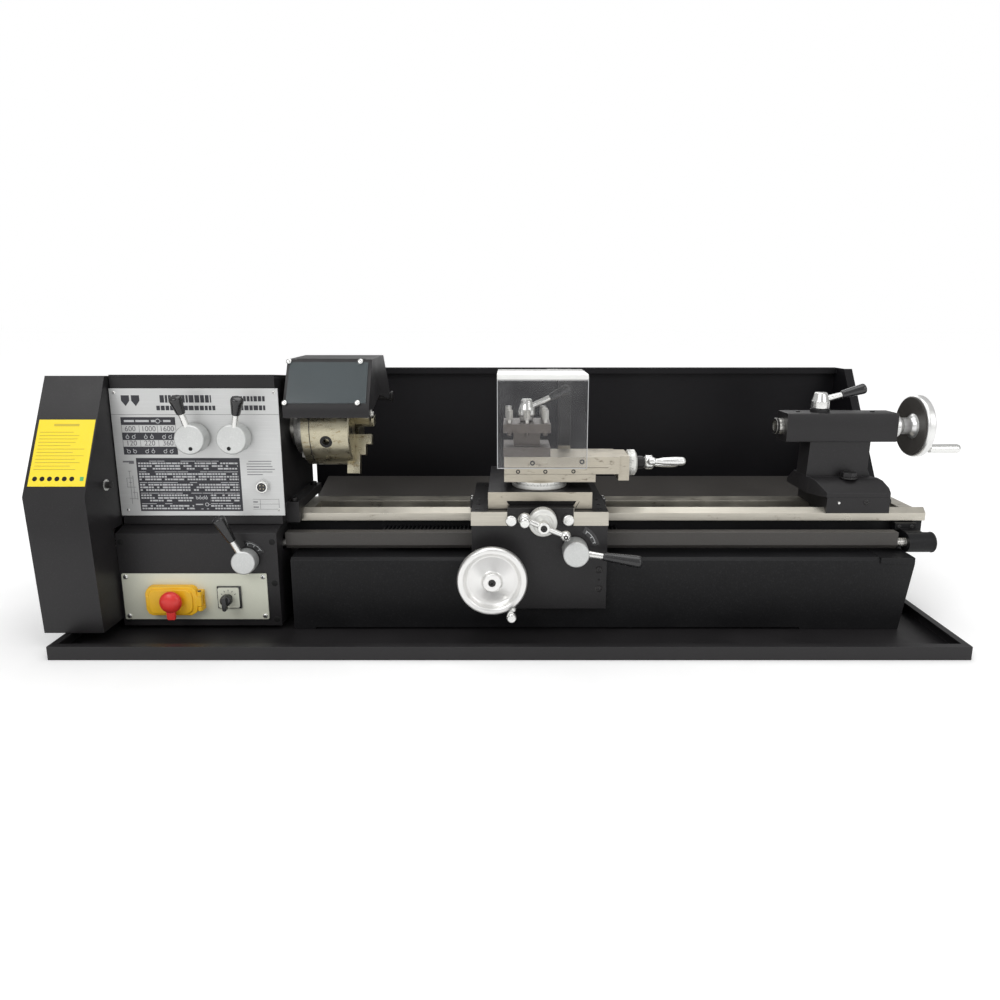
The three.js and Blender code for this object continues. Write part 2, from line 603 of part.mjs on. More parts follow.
/** The yellow stop switch: a base on the plate, a lid hinged at its right, the red mushroom in the lid. */
function stopSwitch() {
  const { left, right, low, high, pinX, buttonX, buttonZ } = E_STOP;
  const back = BOX.front - 2 * GAP - SHEET;
  const middle = (low + high) / 2;
  const hingeY = back - 9;
  const ears = [[8.3, 15], [-15, -8.3]].map(([from, to]) => join(
    rod("z", middle + from, middle + to, 4, [pinX, hingeY], 12),
    block(pinX - 4, pinX + 4, hingeY, back, middle + from, middle + to),
  ));
  const base = join(
    pushed("y", roundRectangle(left, right, low, high, 9), back - 5, back, 3),
    block(right - 2, pinX + 4, back - 3, back, middle - 15, middle + 15),
    ...ears,
  );
  const lidBack = back - 5.3;
  const lid = cut(
    join(
      pushed("y", roundRectangle(left, right, low, high, 9), lidBack - 9, lidBack, 3),
      block(right - 2, pinX, hingeY - 4, hingeY + 2, middle - 8, middle + 8),
      rod("z", middle - 8, middle + 8, 4, [pinX, hingeY], 12),
    ),
    rod("y", lidBack - 10, lidBack + 1, 9, [buttonX, buttonZ], 20),
  );
  const mushroom = join(
    turned("y", [[-26, 0], [-25, 9], [-22, 14.5], [-19, 16.5], [-14.5, 16.5], [-13, 8.5], [-3.3, 8.5],
      [-3.3, 0]], [0, 0], 22),
    block(-6, 6, -21, -16, -27, -12),
  );
  return [
    mesh("stop_switch_base", base, YELLOW),
    assembly(0, 0, 0, mesh("stop_switch_lid", lid, YELLOW)),
    assembly(buttonX, lidBack, buttonZ, mesh("stop_button", mushroom, RED)),
  ];
}

function rotarySwitch() {
  const knob = join(
    turned("y", [[-16, 0], [-16, 6.5], [-8, 8], [-0.3, 8], [-0.3, 5], [8, 5], [8, 0]], [0, 0], 20),
    block(-3, 3, -20, -8, -14, 6),
  );
  return assembly(-425, BOX.front - GAP - SHEET - 4, 57, mesh("rotary_knob", knob, PLASTIC));
}

// ---------------------------------------------------------------- carriage
const RACK_PINION = { x: -14.7, z: 154, teeth: 7, wheelTeeth: 18 };
const HALF_NUT_LEVER = { x: 96.5, z: 137 };

/** A dovetail's outline, wider at its top than at its foot. A slot grows by a clearance. */
function dovetail(middle, halfFoot, flare, low, high, clearance) {
  const foot = halfFoot + clearance;
  return [
    [middle - foot, low], [middle - foot - flare, high + clearance],
    [middle + foot + flare, high + clearance], [middle + foot, low],
  ];
}

const crossDovetail = (clearance) =>
  dovetail(47.5, 43.5, 8, SADDLE.top - 1, SADDLE.top + 12, clearance);
const topDovetail = (clearance) =>
  dovetail(COMPOUND.y - 2, 22, 6, TOP_SLIDE.bottom - 1, TOP_SLIDE.bottom + 11, clearance);

function saddle() {
  const { left, right, front, top, bottom } = SADDLE;
  const rearGuide = BED.rear + 1;
  const body = [
    [front, bottom], [front, top], [rearGuide + 6, top], [rearGuide + 6, 150], [rearGuide, 150],
    [rearGuide, WAY_TOP + 0.5], [BED.front + 2 * WAY_RISE + 1, WAY_TOP + 0.5],
    [BED.front + WAY_RISE, WAY_TOP + WAY_RISE + 0.7], [BED.front - 0.7, WAY_TOP + 0.5],
    [BED.front - 0.7, bottom],
  ];
  const boss = join(rod("y", front - 8, front + 2, 15, [CROSS_SCREW_X, FEED.z], 18),
    block(-3, 95, front, CROSS.front - 0.5, bottom + 1, top + 6));
  const reach = gearReach(RACK_PINION.wheelTeeth) + 1;
  const gearPocket = block(RACK_PINION.x - reach, RACK_PINION.x + reach, APRON.back - 8, APRON.back + 3,
    bottom - 1, RACK_PINION.z + reach + 1);
  const screwBore = rod("y", front - 9, rearGuide + 7, 6.5, [CROSS_SCREW_X, FEED.z], 16);
  const nutTrench = block(CROSS_SCREW_X - 12, CROSS_SCREW_X + 12, front + 60, rearGuide + 7, FEED.z - 8,
    top + 13);
  const wipers = [left - 5, right].map((x) =>
    block(x, x + 5, BED.front - 1, BED.front + 26, WAY_TOP + 9, top));
  const made = join(pushed("x", body, left, right), boss, ...wipers,
    pushed("y", crossDovetail(0), front + 20, rearGuide + 6));
  return mesh("saddle", cut(made, screwBore, nutTrench, gearPocket), GROUND_STEEL);
}

function apron() {
  const { left, right, front, back, bottom } = APRON;
  const { x, z } = RACK_PINION;
  const top = SADDLE.bottom - GAP;
  const hangerBack = BED.front - 4;
  const plate = block(left, right, front, back, bottom, top);
  const flange = block(left, right, back - 1, hangerBack, 160, top);
  const reach = gearReach(RACK_PINION.wheelTeeth) + 1;
  const gearPocket = join(
    rod("y", back - 8, back + 3, reach, [WHEEL.x, WHEEL.z], 22),
    rod("y", back - 8, back + 3, reach, [x, z], 22),
    block(x - reach, x + reach, back - 8, back + 3, z, top + 1),
  );
  const pinionPocket = block(x - 11, x + 11, RACK.front - 2, hangerBack + 1, 150, 165);
  const bearing = block(x - 9, x + 9, RACK.front - 14, RACK.front - 3, 150, 161);
  return mesh("apron", cut(
    join(cut(join(plate, flange), pinionPocket), bearing, block(84, 114, RACK.front, hangerBack, 150, 161)),
    gearPocket,
    rod("y", front - 1, back + 1, 6.3, [WHEEL.x, WHEEL.z], 16),
    rod("y", front + 1, BED.front, 3.4, [x, z], 16),
    rod("y", front - 1, back + 1, 7.3, [HALF_NUT_LEVER.x, HALF_NUT_LEVER.z], 16),
    rod("y", front - 1, front + 3, 15.4, [CROSS_SCREW_X, FEED.z], 18),
  ), CAST_IRON);
}

/** The outside radius of a gear of the lathe's gear trains. */
const gearReach = (teeth) => GEAR_MODULE * (teeth / 2 + 0.9);

/** A gear about an axis along Y, between two depths, on the axis through the origin. */
const gearAcross = (teeth, module, from, to, bore, phase) =>
  gear(teeth, module, from, to, bore, phase).rotate([0, 0, 90]);

function apronGearing() {
  const { x, z, teeth, wheelTeeth } = RACK_PINION;
  const gearFrom = APRON.back - 7.4;
  const gearTo = APRON.back - 0.6;
  const wheelEnd = gearTo - WHEEL.y;
  const dished = turned("y", [
    [-10, 0], [-10, 13], [-5, 15], [1, 34], [-6, 43], [-7, 49], [-1, 51], [5, 50], [6, 42], [6, 30],
    [7, 16], [WHEEL.shaft, 16], [WHEEL.shaft, 6], [wheelEnd, 6], [wheelEnd, 0],
  ], [0, 0], 28);
  const handle = turned("y", [[-26, 0], [-26, 5.5], [-22, 7.5], [-10, 6], [-7, 4], [-7, 0]], [0, 0], 14);
  // Seen from behind, the gears' own angles run from -X upwards.
  const [wheelAxis, pinionAxis] = [[-WHEEL.x, WHEEL.z], [-x, z]];
  const driver = gearAcross(wheelTeeth, GEAR_MODULE, gearFrom - WHEEL.y, gearTo - WHEEL.y, 5,
    phaseTowards(wheelTeeth, wheelAxis, pinionAxis, false));
  const pinion = join(
    rod("y", gearFrom, RACK.front + 12, 3, [0, 0], 12),
    gearAcross(wheelTeeth, GEAR_MODULE, gearFrom, gearTo, 2.5,
      phaseTowards(wheelTeeth, pinionAxis, wheelAxis, true)),
    gearAcross(teeth, RACK.module, RACK.front + 1, RACK.front + 12, 2.5,
      phaseTowards(teeth, [0, 0], [0, -1], true)),
  );
  return [
    assembly(WHEEL.x, WHEEL.y, WHEEL.z, mesh("apron_handwheel", join(dished, driver), ALUMINIUM),
      assembly(28, -8, -44, mesh("apron_wheel_handle", handle, ALUMINIUM))),
    assembly(x, 0, z, mesh("rack_pinion", pinion, STEEL)),
  ];
}

function halfNutParts() {
  const { x, z } = HALF_NUT_LEVER;
  const hub = turned("y", [[-33, 0], [-33, 14], [-28, 19], [-1, 19], [-1, 7], [10, 7], [10, 0]], [0, 0], 22);
  const lever = arm([[8, 5.5], [38, 4.5], [38, 6], [94, 9], [97, 7.5]]);
  const tilted = lever.rotate([7, 0, 0]).translate([0, -18, 0]).rotate([0, 97, 0]);
  const nut = cut(block(-13, 13, SCREW.y + 5, BED.front - 4, SCREW.z - 9, SCREW.z + 6),
    rod("x", -14, 14, SCREW.radius + 0.4, [SCREW.y + 3, SCREW.z], 20));
  return [
    assembly(x, APRON.front, z, mesh("half_nut_lever", join(hub, tilted), ALUMINIUM)),
    assembly(99, 0, 0, mesh("half_nut", nut, STEEL)),
  ];
}

// ---------------------------------------------------------------- cross slide and its screw
const CROSS = { left: -32, right: 123, front: -140, rear: 52, bottom: 193.4, top: 218.6 };

function crossSlide() {
  const { left, right, front, rear, bottom, top } = CROSS;
  const body = cut(block(left, right, front, rear, bottom, top),
    pushed("y", crossDovetail(0.5), front - 1, rear + 1));
  const nut = block(CROSS_SCREW_X - 8, CROSS_SCREW_X + 8, front + 60, front + 86, FEED.z - 4.6, bottom + 16);
  return mesh("cross_slide", cut(join(body, nut),
    rod("y", front + 50, front + 90, 5.4, [CROSS_SCREW_X, FEED.z], 16)), GROUND_STEEL);
}

function crossFeedScrew() {
  const spoke = (length, lean) => turned("z", [[-4, 0], [-4, 4.5], [length, 3.2], [length, 0]], [0, 0], 12)
    .rotate([0, lean, 0]).translate([0, -38, 0]);
  const ball = (radius, x, y, z) => solid(new THREE.SphereGeometry(radius, 10, 7)).translate([x, y, z]);
  const made = join(
    rod("y", -32, 165, 5, [0, 0], 14),
    turned("y", [[-26, 0], [-26, 12], [-20, 14], [-18, 20.5], [-1, 20.5], [-1, 0]], [0, 0], 22),
    turned("y", [[-44, 0], [-44, 8], [-32, 9], [-25, 7], [-25, 0]], [0, 0], 18),
    spoke(30, -67),
    spoke(34, 113),
    ball(9.4, -27, -38, 11.5),
    ball(7.4, 31, -38, -13),
    turned("y", [[-60, 0], [-60, 6], [-54, 8], [-44, 5], [-40, 4], [-40, 0]], [-27, 11.5], 14),
  );
  return assembly(CROSS_SCREW_X, SADDLE.front - 8, FEED.z, mesh("cross_feed_screw", made, GROUND_STEEL));
}

// ---------------------------------------------------------------- compound slide
const TOP_SLIDE = { left: -8, right: 164, bottom: 243, top: 269, front: -126, rear: -56 };

function compoundBase() {
  const { x, y } = COMPOUND;
  const seat = CROSS.top + GAP;
  const bottom = TOP_SLIDE.bottom - GAP;
  return assembly(x, y, 0, mesh("compound_base", cut(
    join(
      rod("z", seat, seat + 12.5, 42, [0, 0], 30),
      block(-54, 83, -36, 34, seat + 12, bottom),
      pushed("x", topDovetail(0), -54, 83).translate([0, -y, 0]),
    ),
    block(-50, 120, -7, 7, bottom - 3, bottom + 12),
  ), GROUND_STEEL));
}

function topSlide() {
  const { left, right, bottom, top, front, rear } = TOP_SLIDE;
  const slide = block(left, right, front, rear, bottom, top);
  const bracket = block(right, right + 16, front + 6, rear - 6, bottom - 11, top);
  const made = cut(join(slide, bracket, shieldBracket()), pushed("x", topDovetail(0.5), left - 1, right),
    block(60, right + 1, COMPOUND.y - 6.5, COMPOUND.y + 6.5, bottom - 1, 261.5),
    rod("x", right - 1, right + 17, 5.5, [COMPOUND.y, 254], 16));
  return mesh("top_slide", made, GROUND_STEEL);
}

function compoundScrew() {
  const spoke = (angle) => join(
    turned("z", [[-3, 0], [-3, 4], [26, 3.2], [26, 0]], [0, 0], 12).translate([34, 0, 0]),
    turned("x", [[30, 0], [30, 5], [38, 5], [42, 3.5], [48, 5], [82, 6.5], [85, 5], [85, 0]], [0, 25], 14),
  ).rotate([angle, 0, 0]);
  const made = join(
    rod("x", -110, 40, 5, [0, 0], 14),
    turned("x", [[0.5, 0], [0.5, 20], [12, 20], [15, 15], [15, 9], [26, 9], [28, 12], [40, 12], [42, 9],
      [42, 0]], [0, 0], 24),
    spoke(75),
    spoke(-105),
  );
  return assembly(TOP_SLIDE.right + 16, COMPOUND.y, 254, mesh("compound_screw", made, GROUND_STEEL));
}

function toolPost() {
  const half = POST.side / 2;
  const seat = TOP_SLIDE.top + GAP;
  const [slotLow, slotHigh] = [seat + 14, seat + 36];
  let post = join(
    block(-half, half, -half, half, seat, slotLow),
    block(-half + 15, half - 15, -half + 15, half - 15, slotLow - 1, slotHigh + 1),
    block(-half, half, -half, half, slotHigh, seat + 49),
  );
  for (let side = 0; side < 4; side++) {
    for (const place of [-26, 0]) {
      const screw = join(rod("z", slotHigh - 5, seat + 62, 3.4, [place, -half + 7.5], 10),
        rod("z", seat + 55, seat + 69, 5, [place, -half + 7.5], 4));
      post = join(post, screw.rotate([0, 0, 90 * side]));
    }
  }
  const lever = arm([[9, 5], [40, 4], [40, 5.5], [70, 7.5], [72, 6.5]]).rotate([0, 64, 0]);
  const hub = turned("z", [[seat + 49.5, 0], [seat + 49.5, 12], [seat + 58, 12], [seat + 60, 9.5],
    [seat + 76, 9.5], [seat + 81, 6], [seat + 81, 0]], [0, 0], 20);
  return [
    assembly(POST.x, COMPOUND.y, 0, mesh("tool_post", post, CAST_IRON),
      mesh("tool_post_lever", join(hub, lever.translate([0, 0, seat + 68])), ALUMINIUM)),
  ];
}

const SHIELD = { left: -18, right: 114, low: 255, top: 393, front: -144, rear: -36, pinZ: 390 };

function toolShield() {
  const { left, right, low, top, front, rear, pinZ } = SHIELD;
  const sheet = 3;
  const bent = [
    [front, low], [front, top - 8], [front + 2.3, top - 2.3], [front + 8, top], [rear, top],
    [rear, top - sheet], [front + 8, top - sheet], [front + 4.6, top - 4.6], [front + sheet, top - 8],
    [front + sheet, low],
  ];
  const shield = join(pushed("x", bent, left, right), block(60, 76, rear - 1, rear + 4, pinZ, top),
    rod("x", 60, 76, 5, [rear + 6, pinZ - 2], 14));
  return mesh("tool_shield", cut(shield, rod("x", 59, 77, 2.5, [rear + 6, pinZ - 2], 10)), CLEAR);
}

/** The upright behind the tool post that the shield's hinge pin stands out of. */
function shieldBracket() {
  const { rear, pinZ } = SHIELD;
  return join(
    block(78, 98, rear + 1, rear + 8, 247, pinZ + 2),
    block(78, 98, TOP_SLIDE.rear - 1, rear + 8, 247, 265),
    rod("x", 76.4, 98, 5, [rear + 6, pinZ - 2], 14),
    rod("x", 62, 77, 2.2, [rear + 6, pinZ - 2], 10),
  );
}

// ---------------------------------------------------------------- tailstock
const TAIL = { left: 441, right: 617, baseLeft: 499, baseRight: 598, split: 196, deck: 222 };

function tailstockParts() {
  const y = CENTRE_Y;
  const z = CENTRE_Z;
  const { left, right, baseLeft, baseRight, split, deck } = TAIL;
  const [baseFront, baseRear] = [-82, 32];
  const baseSection = [
    [baseFront, WAY_TOP + 0.4], [baseFront, split - GAP], [baseRear, split - GAP], [baseRear, WAY_TOP + 0.4],
    [BED.front + 2 * WAY_RISE + 1, WAY_TOP + 0.4], [BED.front + WAY_RISE, WAY_TOP + WAY_RISE + 0.5],
    [BED.front - 0.5, WAY_TOP + 0.4],
  ];
  const tongue = block(baseLeft + 6, baseRight - 6, -46, -4, WAY_TOP - 8, WAY_TOP + 2);
  const clamp = join(block(baseLeft + 10, baseRight - 10, -58, 8, WAY_TOP - 22, WAY_TOP - 13),
    block(baseLeft + 30, baseRight - 30, -30, -20, WAY_TOP - 14, WAY_TOP));
  const footSection = [
    [baseFront, split], [baseFront, split + 7], [baseFront + 5, split + 12], [baseFront + 18, deck - 3],
    [baseFront + 27, deck], [baseRear - 27, deck], [baseRear, split + 7], [baseRear, split],
  ];
  const [columnLeft, columnRight] = [478, 582];
  const footPlan = [
    [baseLeft, baseFront - 1], [baseRight, baseFront - 1], [baseRight, baseFront + 7],
    [baseRight - 10, baseFront + 27], [columnRight, baseFront + 37], [columnRight, baseRear + 1],
    [columnLeft, baseRear + 1], [columnLeft, baseFront + 35], [columnLeft + 5, baseFront + 23],
    [columnLeft + 13, baseFront + 10],
  ];
  const foot = pushed("x", footSection, columnLeft - 1, baseRight + 1)
    .intersect(pushed("z", footPlan, split - 1, deck + 1));
  const housing = join(
    pushed("x", roundRectangle(y - 23, y + 23, z - 23, z + 23, 3), left, right, 1),
    pushed("y", [[columnLeft + 3, z - 21], [470, z - 11], [590, z - 11], [columnRight - 5, z - 21],
      [columnRight - 6, deck + 12], [columnRight, deck - 2], [columnLeft, deck - 2]], y - 20, y + 20),
    foot,
    rod("z", deck - 1, deck + 9, 12, [541, y - 31], 6),
    rod("z", z + 20, z + 28, 15, [500, y], 18),
  );
  const bore = rod("x", left - 1, right + 1, QUILL_RADIUS + GAP, [y, z], 22);
  const quill = cut(rod("x", 429, 600, QUILL_RADIUS, [0, 0], 22),
    rod("x", 428, 480, 8, [0, 0], 18, 6), rod("x", 470, 601, 6.4, [0, 0], 18));
  const wheel = join(
    rod("x", 520, 672, 5.8, [0, 0], 16),
    turned("x", [[617.5, 0], [617.5, 18], [628, 18], [630, 14], [650, 14], [653, 20], [650, 34], [648, 44],
      [650, 49], [656, 50], [662, 49], [663, 44], [660, 34], [661, 20], [668, 14], [671, 12], [671, 0]],
      [0, 0], 28),
  );
  const handle = turned("x", [[663, 0], [663, 4], [668, 5], [704, 7.5], [716, 7], [717, 0]], [0, 0], 16);
  const lock = join(
    rod("z", z + 28.4, z + 54, 13.5, [0, 0], 24, 10),
    arm([[6, 5], [34, 4], [34, 5.5], [72, 8], [74, 7]]).rotate([0, 74, 0]).translate([0, 0, z + 41]),
  );
  return [
    mesh("tailstock_base", join(pushed("x", baseSection, baseLeft, baseRight), tongue, clamp), CAST_IRON),
    mesh("tailstock_body", cut(housing, bore), CAST_IRON),
    assembly(0, y, z, mesh("quill", quill, GROUND_STEEL), mesh("tailstock_handwheel", wheel, ALUMINIUM),
      assembly(0, -24, -33, mesh("tailstock_wheel_handle", handle, ALUMINIUM))),
    assembly(500, y, 0, mesh("quill_lock", lock, ALUMINIUM)),
  ];
}

// ---------------------------------------------------------------- the whole lathe
const lathe = new THREE.Group();
lathe.add(
  chipTray(), bed(), splashGuard(), chipDeflector(),
  ...headstock(), controlPanel(), controlBox(), switchPlate(),
  endCover(), motorPlate(), motor(), spindle(), ...driveTrain(), ...leadScrewParts(),
  ...chuckGuard(),
  speedLever("speed_lever_left", SPEED_KNOBS.xs[0], -9),
  speedLever("speed_lever_right", SPEED_KNOBS.xs[1], 16),
  feedLever(), ...stopSwitch(), rotarySwitch(),
  saddle(), apron(), ...apronGearing(), ...halfNutParts(),
  crossSlide(), crossFeedScrew(), compoundBase(), topSlide(), compoundScrew(), ...toolPost(), toolShield(),
  ...tailstockParts(),
);
export default lathe;
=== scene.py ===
"""A bench metal lathe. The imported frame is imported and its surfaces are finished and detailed.

Shapes are built in millimetres in the lathe's own frame and scaled to metres when they are placed.
"""
import json
import math
import random

import bmesh
import bpy
from mathutils import Matrix, Vector


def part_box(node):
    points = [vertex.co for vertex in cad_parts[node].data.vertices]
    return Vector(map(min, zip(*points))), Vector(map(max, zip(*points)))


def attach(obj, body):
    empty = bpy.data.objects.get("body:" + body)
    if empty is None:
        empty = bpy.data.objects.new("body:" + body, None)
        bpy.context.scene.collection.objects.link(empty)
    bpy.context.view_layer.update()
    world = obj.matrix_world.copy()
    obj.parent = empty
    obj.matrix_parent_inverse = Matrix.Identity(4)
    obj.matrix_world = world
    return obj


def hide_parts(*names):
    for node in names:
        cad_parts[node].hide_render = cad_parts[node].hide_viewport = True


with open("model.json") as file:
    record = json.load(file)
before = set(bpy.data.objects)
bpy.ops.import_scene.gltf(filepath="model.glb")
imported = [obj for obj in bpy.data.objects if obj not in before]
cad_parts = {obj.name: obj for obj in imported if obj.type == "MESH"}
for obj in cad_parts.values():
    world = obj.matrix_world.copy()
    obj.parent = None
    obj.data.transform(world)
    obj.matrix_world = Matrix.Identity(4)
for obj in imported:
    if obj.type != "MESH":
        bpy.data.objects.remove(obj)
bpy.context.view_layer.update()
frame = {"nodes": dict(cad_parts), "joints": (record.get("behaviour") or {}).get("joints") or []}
nodes = frame["nodes"]
joints = {j["name"]: j for j in frame["joints"]}
MM = 0.001
SMOOTH_BELOW = math.radians(34)
WELD_BELOW = 1e-5
RANDOM_SEED = 11
rng = random.Random(RANDOM_SEED)
scene = bpy.context.scene


def span(node):
    """A node's lowest and highest corner in millimetres."""
    low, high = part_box(node)
    return low / MM, high / MM


def pivot(joint):
    """A joint's place in millimetres."""
    return Vector(joints[joint]["pos_m"]) / MM


# ------------------------------------------------------------------ camera and light
CAMERA_PLACE = (0.7, -1181.33, 473.85)
CAMERA_PITCH = 11.21
camera = bpy.data.objects.new("camera", bpy.data.cameras.new("camera"))
scene.collection.objects.link(camera)
camera.location = Vector(CAMERA_PLACE) * MM
camera.rotation_euler = (math.radians(90 - CAMERA_PITCH), 0, 0)
LENS, SENSOR = 25.97, 36
SHIFT = (-0.010, -0.040)
camera.data.lens = LENS
camera.data.sensor_width = SENSOR
camera.data.shift_x, camera.data.shift_y = SHIFT
camera.data.clip_start = 0.05
scene.camera = camera
scene.view_settings.view_transform = "Standard"


def area_light(name, place, target, size, power):
    light = bpy.data.lights.new(name, "AREA")
    light.shape = "RECTANGLE"
    light.size, light.size_y = size
    light.energy = power
    lamp = bpy.data.objects.new(name, light)
    lamp.location = Vector(place)
    lamp.rotation_euler = (Vector(target) - Vector(place)).to_track_quat("-Z", "Y").to_euler()
    scene.collection.objects.link(lamp)


LIT_PLACE = (0, 0, 0.2)
area_light("key_light", (-1.5, -2.2, 2.3), LIT_PLACE, (1.8, 1.4), 34)
area_light("fill_light", (1.9, -2.0, 1.5), LIT_PLACE, (1.4, 1.4), 13)
area_light("top_light", (0.1, 0.1, 2.4), LIT_PLACE, (2.6, 1.6), 24)
area_light("rear_light", (0.4, 2.4, 1.6), LIT_PLACE, (2.0, 1.2), 14)
world = bpy.data.worlds.new("studio")
world.use_nodes = True
ROOM_LIGHT, BACKDROP = 0.48, 1.0
sky = world.node_tree
seen = sky.nodes.new("ShaderNodeLightPath").outputs["Is Camera Ray"]
glow = sky.nodes.new("ShaderNodeMapRange")
glow.inputs["To Min"].default_value = ROOM_LIGHT
glow.inputs["To Max"].default_value = BACKDROP
sky.links.new(seen, glow.inputs["Value"])
sky.links.new(glow.outputs["Result"], sky.nodes["Background"].inputs["Strength"])
sky.nodes["Background"].inputs["Color"].default_value = (1, 1, 1, 1)
scene.world = world


# ------------------------------------------------------------------ materials
class Finish:
    """What a surface is made of. Lengths are in metres and scales in features per metre."""

    def __init__(self, colour, rough, metal=0.0, dirt=None, dirt_share=0.35, blotch=14, mottle=0.12,
        grain=700, stretch=(1, 1, 1), bump=0.12, depth=0.0002, rough_swing=0.1, edge=None,
        edge_share=0.5, coat=0.0, rings=None, spec=0.5, scratches=0.0):
        self.colour, self.rough, self.metal = colour, rough, metal
        self.dirt, self.dirt_share, self.blotch, self.mottle = dirt, dirt_share, blotch, mottle
        self.grain, self.stretch, self.bump, self.depth = grain, stretch, bump, depth
        self.rough_swing, self.edge, self.edge_share, self.coat = rough_swing, edge, edge_share, coat
        self.rings, self.spec, self.scratches = rings, spec, scratches


class Tree:
    """A short way to add and link nodes of one material."""

    def __init__(self, material):
        self.tree = material.node_tree
        self.place = self.add("ShaderNodeTexCoord").outputs["Object"]

    def add(self, kind, values=None, **settings):
        node = self.tree.nodes.new(kind)
        for key, value in settings.items():
            setattr(node, key, value)
        for key, value in (values or {}).items():
            if hasattr(value, "is_linked"):
                self.tree.links.new(value, node.inputs[key])
            else:
                node.inputs[key].default_value = value
        return node

    def noise(self, scale, detail=4, stretch=(1, 1, 1), rough=0.55):
        moved = self.add("ShaderNodeMapping", {"Vector": self.place, "Scale": stretch}).outputs[0]
        values = {"Vector": moved, "Scale": scale, "Detail": detail, "Roughness": rough}
        return self.add("ShaderNodeTexNoise", values).outputs["Fac"]

    def span(self, value, low, high, to_low, to_high, smooth=False):
        kind = "SMOOTHSTEP" if smooth else "LINEAR"
        values = {"Value": value, "From Min": low, "From Max": high, "To Min": to_low,
            "To Max": to_high}
        return self.add("ShaderNodeMapRange", values, interpolation_type=kind).outputs["Result"]

    def blend(self, share, first, second):
        node = self.add("ShaderNodeMix", data_type="RGBA")
        for socket, value in ((0, share), (6, first), (7, second)):
            if hasattr(value, "is_linked"):
                self.tree.links.new(value, node.inputs[socket])
            else:
                node.inputs[socket].default_value = value
        return node.outputs[2]

    def maths(self, operation, first, second=0.0):
        node = self.add("ShaderNodeMath", operation=operation)
        for socket, value in ((0, first), (1, second)):
            if hasattr(value, "is_linked"):
                self.tree.links.new(value, node.inputs[socket])
            else:
                node.inputs[socket].default_value = value
        return node.outputs[0]

    def axis(self, letter):
        return self.add("ShaderNodeSeparateXYZ", {"Vector": self.place}).outputs[letter]


EDGE_RADIUS = 0.0007


def shader(tree, f):
    """The principled shader of one finish."""
    def rgba(c, gain=1.0):
        return (*[min(1.0, v * gain) for v in c], 1)
    blotch = tree.noise(f.blotch, 5)
    grain = tree.noise(f.grain, 3, f.stretch)
    spread = f.mottle
    colour = tree.blend(tree.span(blotch, 0.3, 0.7, 0, 1), rgba(f.colour, 1 - spread),
        rgba(f.colour, 1 + spread))
    colour = tree.blend(tree.span(grain, 0.35, 0.65, 0, 0.5), colour, rgba(f.colour, 1 - spread))
    if f.dirt:
        patches = tree.noise(f.blotch * 1.7, 8, (1, 1.6, 2.2), 0.7)
        low = 0.66 - f.dirt_share * 0.3
        colour = tree.blend(tree.span(patches, low, low + 0.16, 0, 0.8, True), colour, rgba(f.dirt))
    rounded = tree.add("ShaderNodeBevel", {"Radius": EDGE_RADIUS}, samples=4).outputs["Normal"]
    # Lighter colour on the rounded edges: edge wear on paint and metal, and a painted highlight where
    # the edges catch the light.
    if f.edge:
        true = tree.add("ShaderNodeNewGeometry").outputs["Normal"]
        facing = tree.add("ShaderNodeVectorMath", {0: rounded, 1: true},
            operation="DOT_PRODUCT").outputs["Value"]
        edge_wear_and_highlight = tree.span(tree.maths("ADD", facing, tree.span(grain, 0.3, 0.7, -0.05, 0.05)), 0.98, 0.86,
            0, f.edge_share)
        colour = tree.blend(edge_wear_and_highlight, colour, rgba(f.edge))
    height = grain
    if f.rings:
        moved = tree.add("ShaderNodeMapping", {"Vector": tree.place}).outputs[0]
        wave = tree.add("ShaderNodeTexWave", {"Vector": moved, "Scale": 190, "Distortion": 0.6,
            "Detail": 2}, wave_type="RINGS", rings_direction=f.rings).outputs["Fac"]
        height = tree.maths("ADD", tree.maths("MULTIPLY", wave, 0.7),
            tree.maths("MULTIPLY", grain, 0.3))
    if f.scratches:
        lines = tree.noise(40, 6, (1, 1, 9), 0.8)
        colour = tree.blend(tree.span(lines, 0.62, 0.66, 0, f.scratches), colour, (0.9, 0.9, 0.9, 1))
    normal = tree.add("ShaderNodeBump", {"Height": height, "Normal": rounded, "Strength": f.bump,
        "Distance": f.depth}).outputs["Normal"]
    rough = tree.maths("ADD", tree.span(blotch, 0.3, 0.7, f.rough - f.rough_swing,
        f.rough + f.rough_swing), tree.span(grain, 0.3, 0.7, -f.rough_swing / 2, f.rough_swing / 2))
    node = tree.add("ShaderNodeBsdfPrincipled", {"Base Color": colour, "Roughness": rough,
        "Normal": normal})
    node.inputs["Metallic"].default_value = f.metal
    node.inputs["Specular IOR Level"].default_value = f.spec
    node.inputs["Coat Weight"].default_value = f.coat
    node.inputs["Coat Roughness"].default_value = 0.15
    return node


def material(name, finish, other=None, share=None):
    """A material of one finish, or of two where share gives a mask from the tree."""
    made = bpy.data.materials.new(name)
    made.use_nodes = True
    made.node_tree.nodes.clear()
    tree = Tree(made)
    result = shader(tree, finish).outputs[0]
    if other:
        second = shader(tree, other).outputs[0]
        result = tree.add("ShaderNodeMixShader", {0: share(tree), 1: result, 2: second}).outputs[0]
    tree.add("ShaderNodeOutputMaterial", {"Surface": result})
    return made


